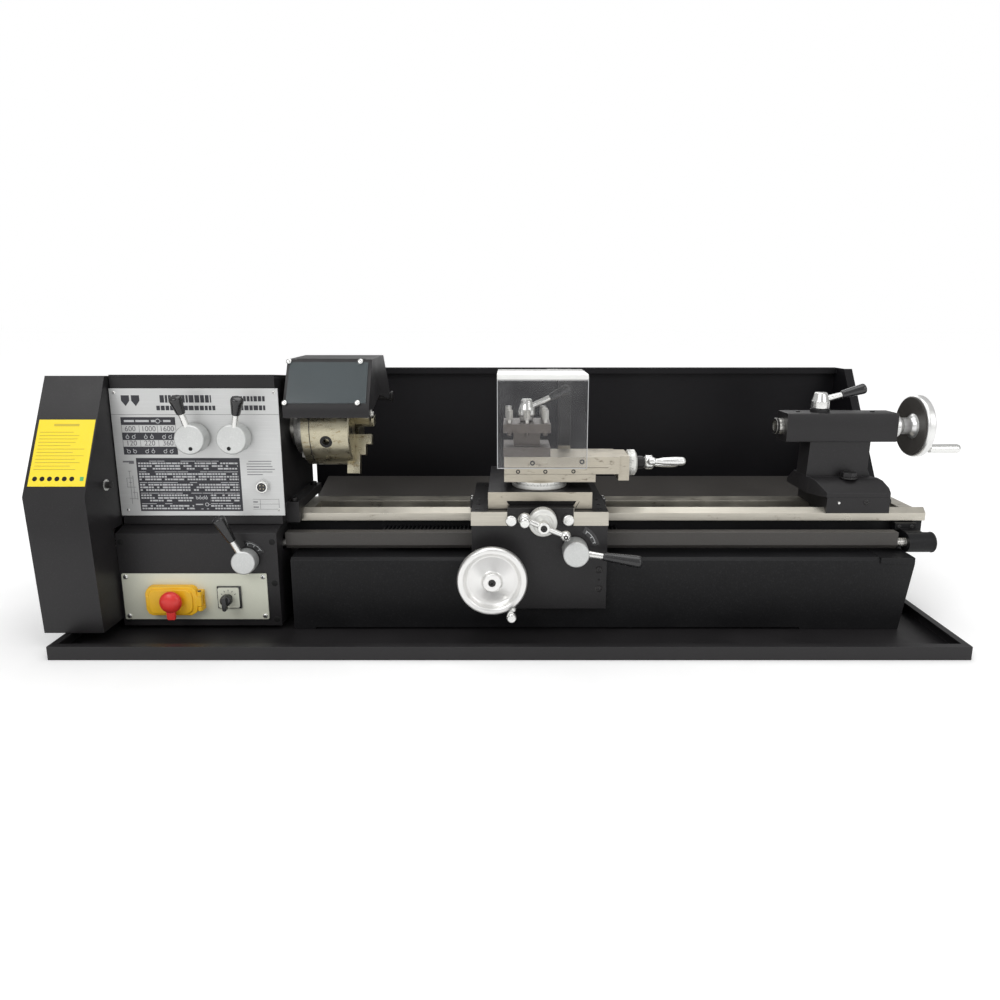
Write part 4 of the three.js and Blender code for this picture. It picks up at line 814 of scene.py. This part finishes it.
# ------------------------------------------------------------------ stop switch and rotary switch
lid_low, lid_high = span("stop_switch_lid")
cap_body = [(lid_low.x + 9, lid_low.z), (lid_high.x - 17, lid_low.z), (lid_high.x - 9, lid_low.z + 5),
    (lid_high.x - 7, lid_low.z + 14), (lid_high.x - 7, lid_high.z - 14),
    (lid_high.x - 9, lid_high.z - 5), (lid_high.x - 17, lid_high.z), (lid_low.x + 9, lid_high.z),
    (lid_low.x + 3, lid_high.z - 3), (lid_low.x, lid_high.z - 10), (lid_low.x, lid_low.z + 10),
    (lid_low.x + 3, lid_low.z + 3)]
INNER_SHARE = 0.84
lid_mid = (lid_low + lid_high) / 2 * (1 - INNER_SHARE)
inner = [(x * INNER_SHARE + lid_mid.x - 1, z * INNER_SHARE + lid_mid.z) for x, z in cap_body]
lid_z = (lid_low.z + lid_high.z) / 2
knuckle = box(lid_high.x - 10, lid_high.x - 1, lid_low.y + 2, lid_high.y, lid_z - 8, lid_z + 8)
piece("stop_switch_cap", merged(prism("y", cap_body, lid_low.y + 2.5, lid_low.y + 9), knuckle,
    prism("y", inner, lid_low.y, lid_low.y + 3), box(lid_low.x + 2, lid_low.x + 10, lid_low.y + 0.6,
    lid_low.y + 3, lid_low.z + 14, lid_high.z - 14)), "yellow_plastic", "stop_lid",
    replaces=("stop_switch_lid",), bevel=1.4)
piece("stop_switch_pin", lathe("z", [(-16, 0), (-16, 2.4), (16, 2.4), (16, 0)], pivot("stop_lid_hinge"),
    sides=24), "black_steel")
button_low, button_high = span("stop_button")
button = ((button_low.x + button_high.x) / 2, button_low.y, button_high.z - 16.4)
mushroom = [(-0.4, 0), (0, 5), (1, 9.4), (4, 14.5), (7, 16.4), (11.5, 16.4), (13, 8.5), (22.5, 8.4),
    (22.5, 0)]
tab = [(-6.5, -12), (6.5, -12), (6.5, -24), (5, -27), (-5, -27), (-6.5, -24)]
piece("stop_button_mushroom", merged(lathe("y", mushroom, button, 2.0, 72, 4),
    placed(prism("y", tab, 5.2, 9.6), at(*button))), "red_plastic", "stop_button", button,
    replaces=("stop_button",), bevel=0.9)

knob = pivot("rotary_knob_turn")
knob_low = span("rotary_knob")[0]
knob_centre = (knob.x, knob_low.y, knob.z)
handle_outline = [(-3.2, 7), (3.2, 7), (3.6, -4), (2.8, -13), (0, -14.4), (-2.8, -13), (-3.6, -4)]
piece("rotary_knob_body", merged(lathe("y", [(5, 0), (5, 7), (6, 8.2), (11, 9), (13, 9), (13, 4.6),
    (20, 4.6), (20, 0)], knob_centre, 0.8), placed(prism("y", handle_outline, 0, 8), at(*knob_centre))),
    "grip_plastic", "rotary_knob", knob_centre, replaces=("rotary_knob",), bevel=0.8)
plate_front = span("switch_plate")[0].y
piece("rotary_bezel_frame", merged(*[box(*b)
    for b in ((knob.x - 16.6, knob.x + 16.6, plate_front + 1.4, plate_front + 4.2, knob.z + 15.9,
    knob.z + 17.6), (knob.x - 16.6, knob.x + 16.6, plate_front + 1.4, plate_front + 4.2, knob.z - 17.6,
    knob.z - 15.9), (knob.x + 15.9, knob.x + 18.4, plate_front + 1.0, plate_front + 4.2, knob.z - 17.6,
    knob.z + 17.6), (knob.x - 17.6, knob.x - 15.9, plate_front + 1.4, plate_front + 4.2, knob.z - 17.6,
    knob.z + 17.6))]), "grip_plastic", bevel=0.4)
marks = [placed(box(-0.4, 0.4, plate_front - 0.12, plate_front + 0.2, 10.4, 13),
    at(knob.x, 0, knob.z) @ turn(a, "Y")) for a in (-60, -30, 0, 30, 60, 180)]
piece("rotary_marks", merged(*marks), "ink")

# ------------------------------------------------------------------ printed control panel
PANEL_Y = span("control_panel")[1].y - 2.0
INK_OUT = 0.14


def printed(x0, x1, z0, z1, out=INK_OUT):
    return box(x0, x1, PANEL_Y - out, PANEL_Y + 0.05, z0, z1)


def table_rows():
    """The dark bands of the lever-position table; its rings, pale bars and speeds are made below."""
    dark = [(316.9, 328.6), (294.3, 305.6), (272.2, 284.2)]
    return merged(*[printed(-575.8, -495.2, low, high) for low, high in dark])


def ring_mark(x, z, radius, lean):
    """A small ring with a stroke: a lever seen from the front."""
    ring_points, ring_faces = turned("y", [(0, radius - 0.55), (0, radius + 0.35),
        (0.2, radius + 0.35)], 20)
    stroke = placed(box(-0.45, 0.45, 0, 0.2, radius, radius + 2.6), turn(lean, "Y"))
    return placed(merged((ring_points, ring_faces), stroke), at(x, PANEL_Y - INK_OUT - 0.06, z))


piece("panel_table_bands", table_rows(), "print_black")
rings = []
for z in (298.6, 276.8):
    for column in range(3):
        x = -563.5 + 27.2 * column
        rings += [ring_mark(x - 4.6, z, 2.3, rng.choice((-35, 0, 35))),
            ring_mark(x + 4.6, z, 2.3, rng.choice((-35, 0, 35)))]
rings.append(ring_mark(-521, 322.7, 3.2, 90))
pale_bars = [box(x, x + w, PANEL_Y - INK_OUT - 0.05, PANEL_Y, 321.2, 324.4)
    for x, w in ((-571, 15), (-554, 20), (-531, 6), (-513, 11))]
piece("panel_table_marks", merged(*rings, *pale_bars), "print_pale")
frame_lines = [printed(x - 0.25, x + 0.25, low, high)
    for x in (-549.5, -522.3) for low, high in ((305.8, 316.7), (284.4, 294.1))]
frame_lines += [printed(-589, -341, 332.2, 332.7), printed(-575.8, -575.3, 272.2, 328),
    printed(-495.6, -495.2, 272.2, 328)]
frame_lines += [printed(-388.6, -348.8, z, z + 0.4) for z in (203.2, 195.6, 187.6)]
frame_lines += [printed(x, x + 0.4, 187.6, 203.4) for x in (-377.5, -349.2)]
piece("panel_rules", merged(*frame_lines), "print_grey")

title = []
for x0, x1, low, high in ((-515, -438, 350.2, 361.2), (-408, -359, 352, 359.7),
    (-521, -431, 338.8, 345.6), (-396, -359, 338.8, 346)):
    x = x0
    while x < x1 - 3:
        width = min(rng.uniform(4.5, 8.5), x1 - x)
        title.append(printed(x, x + width - 1.4, low, high))
        x += width
title += [placed(prism("y", [(-6, 0), (0, -8), (6, 0), (6, 8), (-6, 8)], -INK_OUT, 0),
    at(x, PANEL_Y, 353)) for x in (-566, -551)]
piece("panel_title_bars", merged(*title), "print_black")


def number(text, x, z, size):
    """A printed number on the panel, as a flat mesh."""
    curve = bpy.data.curves.new("speed", "FONT")
    curve.body = text
    curve.size = size * MM
    curve.extrude = 0.00006
    curve.align_x = "CENTER"
    made = bpy.data.objects.new("speed_curve", curve)
    scene.collection.objects.link(made)
    bpy.context.view_layer.update()
    flat = bpy.data.meshes.new_from_object(made)
    points = [v.co.copy() / MM for v in flat.vertices]
    faces = [list(p.vertices) for p in flat.polygons]
    bpy.data.objects.remove(made)
    return placed((points, faces), at(x, PANEL_Y - 0.08, z) @ turn(90, "X"))


speeds = (("600", "1000", "1600"), ("120", "220", "360"))
digits = [number(text, -563 + 27.2 * column, z, 11) for z, row in ((307.6, speeds[0]), (286, speeds[1]))
    for column, text in enumerate(row)]
piece("panel_speeds", merged(*digits), "print_grey")

CHART = (-559, -404, 185, 267)
piece("panel_chart", printed(*CHART), "print_black", bevel=0.03)
cells = []
row_count = 19
row_height = (CHART[3] - CHART[2] - 4) / row_count
for row in range(row_count):
    low = CHART[2] + 2.4 + row * row_height
    x = CHART[0] + 2.5
    dense = row % 4 != 2
    while x < CHART[1] - 4:
        width = rng.choice((4.2, 4.2, 4.2, 8.6)) if dense else rng.choice((12, 17, 23))
        width = min(width, CHART[1] - 2.5 - x)
        if rng.random() < (0.86 if dense else 0.7):
            cells.append(box(x, x + width - 1.0, PANEL_Y - INK_OUT - 0.05, PANEL_Y, low + 0.5,
                low + row_height * (0.70 if dense else 0.34)))
        x += width
piece("panel_chart_cells", merged(*cells), "print_pale")
x0, z0 = -478, 193
piece("panel_chart_key", merged(box(x0, x0 + 26, PANEL_Y - 0.30, PANEL_Y, z0 - 4, z0 + 18)),
    "print_black")
piece("panel_chart_key_marks", merged(*[placed(ring_mark(0, 0, 1.7, a),
    at(x0 + 6 + 4.6 * i, -0.2, z0 + 12.4)) for i, a in enumerate((-30, 0, 30, 0))],
    placed(ring_mark(0, 0, 2.6, 90), at(x0 + 20, -0.2, z0 + 2.4)),
    box(x0 + 3, x0 + 14, PANEL_Y - 0.36, PANEL_Y, z0 + 1.6, z0 + 3.4)), "print_pale")

diagram = [printed(*line) for line in ((-571, -570.5, 196, 247), (-576, -566, 236, 236.5),
    (-576, -575.5, 222, 236.5), (-576, -563, 222, 222.5), (-566.5, -566, 204, 240),
    (-574, -562.5, 204, 204.5), (-579, -570, 260.2, 262.6), (-570, -562.5, 258.2, 262.8),
    (-568.5, -561.8, 214, 214.5), (-562.3, -561.8, 203, 214.5), (-573, -568, 246.6, 247.2),
    (-573, -568, 229, 229.6))]
text_lines = [printed(-394 + (3 if i == 0 else 0), -352 - rng.uniform(0, 6) - (14 if i == 5 else 0), z,
    z + 1.0) for i, z in enumerate((261.5, 257.4, 253.3, 249.2, 245.1, 241))]
text_lines += [printed(-388, -381, 198.4, 200), printed(-388, -380, 190.4, 192)]
piece("panel_fine_print", merged(*diagram, *text_lines), "print_grey")
panel_screws = [(-581.3, PANEL_Y, 364.8), (-346.5, PANEL_Y, 364.8), (-578.2, PANEL_Y, 187),
    (-349.4, PANEL_Y, 187)]
cross_screws("panel", panel_screws, 2.2, 1.2)

SOCKET = (-371.5, 223.5)
piece("socket_nut", merged(lathe("y", [(-7.4, 6.8), (-7.4, 8.6), (-6, 9.4), (-5, 9.4), (-5, 6.8)],
    (SOCKET[0], PANEL_Y, SOCKET[1]), 0.4)), "alloy")
piece("socket_core", lathe("y", [(-6.2, 0), (-6.2, 6.9), (-5.6, 7.0)], (SOCKET[0], PANEL_Y, SOCKET[1]),
    sides=40), "grip_plastic")
piece("socket_pins", merged(*[lathe("y", [(-6.9, 0), (-6.8, 0.9), (-6, 1.1)],
    (SOCKET[0] + dx, PANEL_Y, SOCKET[1] + dz), sides=14) for dx in (-2.5, 2.5) for dz in (-2.5, 2.5)]),
    "chuck_steel")

# ------------------------------------------------------------------ switch plate, box and cover fittings
sp_low, sp_high = span("switch_plate")
SP_Y = plate_front + 4
corners = [(sp_low.x + 6.5, SP_Y, sp_high.z - 5), (sp_high.x - 5.5, SP_Y, sp_high.z - 5),
    (sp_low.x + 6.5, SP_Y, sp_low.z + 5.5), (sp_high.x - 5.5, SP_Y, sp_low.z + 5.5)]
cross_screws("switch_plate", corners, 3.7, 1.9)
cb_low, cb_high = span("control_box")
box_screws = [(x, cb_low.y + 1.9, z) for x in (cb_low.x + 7, cb_high.x - 7) for z in (20, 78, 143)]
# Dark discs over the screw holes paint the shade in the holes.
box_hole_shades = [(x, cb_low.y + 0.02, z) for x, _, z in box_screws]
piece("control_box_hole_shade", heads(box_hole_shades, turned("z", [(0, 0), (0.12, 0), (0.12, 4.5), (0, 4.7)], 32),
    "front"), "ink")


def arc_band(centre, y, inner, outer, start, end, steps=24):
    """A flat arc band on a front face, angles from +X towards +Z."""
    angles = [math.radians(start + (end - start) * i / steps) for i in range(steps + 1)]
    outline = [(centre[0] + outer * math.cos(a), centre[2] + outer * math.sin(a)) for a in angles]
    outline += [(centre[0] + inner * math.cos(a), centre[2] + inner * math.sin(a))
        for a in reversed(angles)]
    return prism("y", outline, y - 0.8, y + 0.2)


piece("feed_arc_plate", arc_band(feed_centre, feed_centre[1], 18, 28, 22, 100), "grip_plastic",
    bevel=0.3)
# The thin pale arc paints a highlight on the glossy black plate; the three short bands are printed
# marks.
piece("feed_arc_highlight_and_marks", merged(arc_band(feed_centre, feed_centre[1] - 0.15, 24.6, 25.2, 30, 92),
    *[arc_band(feed_centre, feed_centre[1] - 0.2, 21, 24, a, a + 2.4, 3) for a in (36, 60, 84)]),
    "print_pale")
piece("half_nut_arc_plate", arc_band(nut_centre, nut_centre[1], 26, 37, 8, 66), "grip_plastic",
    "carriage", bevel=0.3)
# The thin pale arc paints a highlight on the glossy black plate; the three short bands are printed
# marks.
piece("half_nut_arc_highlight_and_marks", merged(arc_band(nut_centre, nut_centre[1] - 0.15, 31.2, 32.2, 14, 58),
    *[arc_band(nut_centre, nut_centre[1] - 0.2, 28, 31, a, a + 2.4, 3) for a in (16, 34, 54)]),
    "print_pale", "carriage")

cover_high = span("gear_cover")[1]


def sloping_face(top, foot):
    """The way down a sloping front face, the way out of it, and the turn that faces out."""
    along = (foot - top).normalized()
    out = Vector((0, along.z, -along.y))
    if out.y > 0:
        out = -out
    return along, out, out.to_track_quat("Z", "Y").to_matrix().to_4x4()


SLOPE_TOP, SLOPE_LOW = Vector((0, -127, 390)), Vector((0, -209, 228))
down, outward, spin_out = sloping_face(SLOPE_TOP, SLOPE_LOW)


def on_slope(x0, x1, from_top, to_top, out):
    """A thin plate on the cover's upper front slope."""
    points = []
    for x in (x0, x1):
        for lift in (0.02, out):
            for place in (from_top, to_top):
                p = SLOPE_TOP + down * place + outward * lift
                points.append(Vector((x, p.y, p.z)))
    return points, [[0, 1, 3, 2], [4, 6, 7, 5], [0, 4, 5, 1], [2, 3, 7, 6], [0, 2, 6, 4], [1, 5, 7, 3]]


LABEL = (-672.5, -592, 67.5, 166)
piece("cover_label", on_slope(LABEL[0], LABEL[1], LABEL[2], LABEL[3], 0.25), "yellow_film",
    "gear_cover")
piece("cover_label_sign", on_slope(-600.5, -595.5, 152, 158, 0.34), "label_green", "gear_cover")
bars = [on_slope(-650, -614, 74, 77.5, 0.32)]
bars += [on_slope(-668, -664 + rng.uniform(40, 66), d, d + 0.9, 0.32) for d in range(86, 146, 5)]
piece("cover_label_bars", merged(*bars), "yellow_ink", "gear_cover")
dots = []
for i in range(6):
    centre = SLOPE_TOP + down * 155 + outward * 0.2
    dots.append(placed(turned("z", [(0, 0), (0.15, 0), (0.15, 3.4), (0, 3.5)], 24),
        at(-664 + 10.4 * i, centre.y, centre.z) @ spin_out))
piece("cover_label_dots", merged(*dots), "ink", "gear_cover")
piece("cover_screw", merged(heads([(cover_high.x, -154, 233)], hex_head(5.4, 3), "right"),
    lathe("x", [(2, 0), (2, 5), (9, 5), (9.6, 4), (9.6, 0)], (cover_high.x - 0.2, -154, 233), 0.6, 32)),
    "black_steel", "gear_cover")
piece("cover_screw_washer", lathe("x", [(-0.3, 8), (1.2, 8.4), (1.4, 7.4), (1.4, 5.4)],
    (cover_high.x, -154, 233), sides=36), "alloy", "gear_cover")

# ------------------------------------------------------------------ headstock, chuck and guard fittings
foot_high = span("headstock_casting")[1]
piece("headstock_foot_bolts", merged(heads([(foot_high.x - 9, -88, 192.2),
    (foot_high.x - 9, 24, 192.2)], socket_head(5.6, 5.5), "up")), "black_steel")
chuck = pivot("spindle_turn")
KEY_X = -283
back_low, back_high = span("chuck_backplate")
flange_bolts = [placed(placed(hex_head(5.4, 6), FACING["left"]),
    at(back_low.x - 0.2, chuck.y, chuck.z) @ turn(a, "X") @ at(0, 0, 53)) for a in (20, 140, 260)]
piece("chuck_bolts", merged(*flange_bolts), "turned_steel", "spindle")
body_high = span("chuck_body")[1]
chuck_radius = (body_high.z - span("chuck_body")[0].z) / 2
for i in range(3):
    reach = at(KEY_X, chuck.y, chuck.z) @ turn(105 - 120 * i, "X")
    collar = [(chuck_radius - 6, 5.2), (chuck_radius - 0.2, 5.2), (chuck_radius + 0.5, 5.6),
        (chuck_radius + 0.35, 9.4), (chuck_radius - 1.2, 9.8)]
    piece(f"chuck_key_socket_{i + 1}", placed(turned("z", collar, 40), reach), "black_steel", "spindle")
piece("chuck_seam", lathe("x", [(-1, chuck_radius + 0.12), (0.2, chuck_radius + 0.12),
    (0.2, chuck_radius - 1)], (back_high.x + 0.6, chuck.y, chuck.z), sides=96), "black_steel",
    "spindle")

guard_low, guard_high = span("chuck_guard")
GUARD_TOP, GUARD_FOOT = Vector((0, -80, 411)), Vector((0, -120, 343))
g_down, g_out, g_turn = sloping_face(GUARD_TOP, GUARD_FOOT)
guard_screws = []
for x in (guard_low.x + 10, guard_low.x + 118):
    for place in (5, 73):
        p = GUARD_TOP + g_down * place + g_out * 2.6
        guard_screws.append(placed(pan_head(4.2, 2.6), at(x, p.y, p.z) @ g_turn))
piece("guard_screws", merged(*guard_screws), "alloy", "chuck_guard")
piece("guard_end_screw", heads([(-208, -104, 331)], hex_head(4, 4), "right"), "turned_steel",
    "chuck_guard")
piece("guard_hinge_caps", merged(lathe("x", [(-1, 0), (-1, 9), (2.5, 9), (3.2, 6), (3.2, 0)],
    (guard_high.x, 69, 339), 0.8, 40)), "black_steel", "chuck_guard")

# ------------------------------------------------------------------ carriage fittings
saddle_front = -156
caps = [(crank.x - 45.8, saddle_front, 180), (crank.x + 38.3, saddle_front, 181)]
piece("saddle_cap_screws", heads(caps, turned("z",
    rounded([(0, 0), (0, 8.4), (5.4, 8.4), (6.6, 7), (6.6, 0)], 1), 48), "front"), "alloy", "carriage")
apron_screws = [(133.5, nut_centre[1] + 0.4, 103.5), (133.5, nut_centre[1] + 0.4, 73.5)]
piece("apron_screws", heads(apron_screws, socket_head(4.2, 1.0), "front"), "black_steel", "carriage")
piece("apron_screw_rings", heads([(x, y - 0.1, z) for x, y, z in apron_screws],
    turned("z", [(0, 4.4), (0.3, 4.5), (0.3, 5.2), (0, 5.3)], 36), "front"), "grey_paint", "carriage")
# A dark disc paints the shade in the small pin hole.
piece("apron_pin_hole_shade", heads([(133.7, nut_centre[1] + 0.02, 88)],
    turned("z", [(0, 0), (0.1, 0), (0.1, 1.7), (0, 1.8)], 20), "front"), "ink", "carriage")
wiper_screws = [(x, y, 192.7) for x in (-59.5, 148.5) for y in (-76, -60)]
piece("wiper_screws", heads(wiper_screws, socket_head(2.0, 1.4), "up"), "alloy", "carriage")
top_screws = [(x, y, 192.7) for x in (-48, 136) for y in (-140, -112, -84)]
piece("saddle_top_screws", heads(top_screws, socket_head(3.2, 1.0), "up"), "black_steel", "carriage")

cs_low, cs_high = span("cross_slide")
piece("cross_gib_line", merged(placed(prism("y", [(98.2, 195), (99, 195), (104.5, 204.4),
    (103.7, 204.4)], -0.3, 1.2), at(0, cs_low.y, 0))), "ink", "cross_slide")
gib_screws = [(cs_high.x - 1.4, y, 200) for y in (-118, -88, -58, -28)]
piece("cross_gib_screws", heads(gib_screws, socket_head(3.4, 1.8), "right"), "black_steel",
    "cross_slide")

base_front = -126
slide_screws = [(34.2, 259.9), (108.1, 261.9)]
gib_low = [(12.7, 246.8), (53.6, 246.8), (95.6, 247.2)]
piece("top_slide_gib_screws", heads([(x, base_front + 1.1, z) for x, z in gib_low],
    socket_head(3.4, 1.4), "front"), "black_steel", "top_slide")
piece("top_slide_screws", heads([(x, base_front + 1.1, z) for x, z in slide_screws],
    socket_head(3.9, 1.6), "front"), "black_steel", "top_slide")
piece("top_slide_gib_line", box(-8.1, 148, base_front - 0.06, base_front + 0.2, 252.6, 253.2), "ink",
    "top_slide")
shield_low, shield_high = span("tool_shield")
piece("shield_edge", merged(box(shield_low.x, shield_low.x + 0.9, shield_low.y - 0.1,
    shield_low.y + 3.1, shield_low.z, shield_high.z - 8), box(shield_high.x - 0.9, shield_high.x,
    shield_low.y - 0.1, shield_low.y + 3.1, shield_low.z, shield_high.z - 8),
    box(shield_low.x, shield_high.x, shield_low.y - 0.1, shield_low.y + 3.1, shield_low.z,
    shield_low.z + 0.9)), "print_pale", "tool_shield", bevel=0.2)

# ------------------------------------------------------------------ bed, bracket and tailstock fittings
bracket_end = span("lead_screw_bracket")[1].x
lead = pivot("lead_screw_turn")
BRACKET_FACE = -88
piece("bracket_screws", heads([(x, BRACKET_FACE, z) for x in (613, 633) for z in (150.5, 123.5)],
    socket_head(3.2, 1.2), "front"), "black_steel")
piece("bracket_cap", lathe("x", [(-2, 15.6), (-2, 16), (0, 16), (0.8, 14), (0.8, 0)],
    (bracket_end, lead.y, lead.z), 0.8, 64), "black_steel")
piece("lead_screw_thread", merged(*[lathe("x", [(0, 6.4), (0.6, 7.1), (1.2, 7.1), (1.8, 6.4)],
    (x, lead.y, lead.z), sides=32) for x in [595 + 3 * i for i in range(7)]]), "turned_steel",
    "lead_screw")
tb_low, tb_high = span("tailstock_base")
piece("tailstock_base_screws", merged(heads([(tb_low.x + 62, tb_low.y + 0.2, 188)],
    socket_head(4.6, 1.2), "front"), heads([(tb_high.x, tb_low.y + 24, 184)],
    turned("z", rounded([(0, 0), (0, 5), (12, 5), (13, 4), (13, 0)], 0.6), 32), "right")),
    "black_steel", "tailstock")
piece("tailstock_pin", heads([(tb_low.x + 19, tb_low.y, 187)],
    turned("z", rounded([(0, 2.2), (0.8, 2), (1, 0)], 0.3), 20), "front"), "alloy", "tailstock")
piece("tailstock_bolt", merged(heads([(541, -56, 222)], hex_head(9, 9.6), "up")), "black_steel",
    "tailstock")
piece("oil_cups", merged(*[lathe("z", [(0, 0), (0, 3.6), (1.4, 3.4), (2.2, 2), (2.2, 0)],
    (x, -25, 323.8), 0.5, 28) for x in (465, 585)]), "black_steel", "tailstock")

# ------------------------------------------------------------------ motor and splash guard
mh_high = span("motor_housing")[1]
motor = pivot("motor_pulley_turn")
fins = []
for i in range(36):
    angle = 10 * i
    if 50 < angle < 130:
        continue
    fins.append(placed(box(-565, -425, -0.9, 0.9, 47, 50.6),
        at(0, motor.y, motor.z) @ turn(-angle, "X")))
piece("motor_fins", merged(*fins), "grey_paint", bevel=0.4)
# Dark bars on the fan cowl paint the shade in its vent slots.
fan_slot_shades = [placed(box(-0.9, 0.9, 12, 38, -0.4, 0.6),
    at(mh_high.x, motor.y, motor.z) @ turn(90, "Y") @ turn(30 * i, "Z")) for i in range(12)]
cowl = turned("x", rounded([(-22, 48), (-22, 50), (-3, 50), (0.4, 46), (0.4, 8), (0.4, 0)], 1.6), 72)
piece("motor_fan_cowl", placed(cowl, at(mh_high.x, motor.y, motor.z)), "black_paint")
piece("motor_fan_slot_shade", merged(*fan_slot_shades), "ink")
piece("motor_box_screws", heads([(x, mh_high.y, z) for x in (-524, -446)
    for z in (motor.z - 24, motor.z + 24)], pan_head(2.6, 1.5), "back"), "alloy")
sg_low, sg_high = span("splash_guard")
guard_bolts = [(sg_low.x + 20 + i * (990 / 6), sg_high.y, 14) for i in range(7)]
piece("splash_guard_bolts", heads(guard_bolts, hex_head(4, 3), "back"), "black_steel")

# ------------------------------------------------------------------ floor
bm = bmesh.new()
bmesh.ops.create_grid(bm, x_segments=8, y_segments=8, size=30)
floor_mesh = bpy.data.meshes.new("floor")
bm.to_mesh(floor_mesh)
bm.free()
floor = bpy.data.objects.new("floor", floor_mesh)
floor.location.z = -0.0002
scene.collection.objects.link(floor)
FLOOR = Finish((0.93, 0.93, 0.93), 0.8, grain=300, bump=0.02, mottle=0.01)
paper = material("floor_paper", FLOOR)
paper_tree = Tree(paper)
away = paper_tree.add("ShaderNodeVectorMath", {0: paper_tree.place},
    operation="LENGTH").outputs["Value"]
paper_shader = next(n for n in paper.node_tree.nodes if n.type == "BSDF_PRINCIPLED")
# The floor glows, weakly near the machine and more strongly away from it: painted light that blends the
# floor into the white backdrop.
paper_shader.inputs["Emission Color"].default_value = (1, 1, 1, 1)
paper.node_tree.links.new(paper_tree.span(away, 0.6, 3.0, 0.12, 0.55),
    paper_shader.inputs["Emission Strength"])
floor_mesh.materials.append(paper)

bpy.context.view_layer.update()
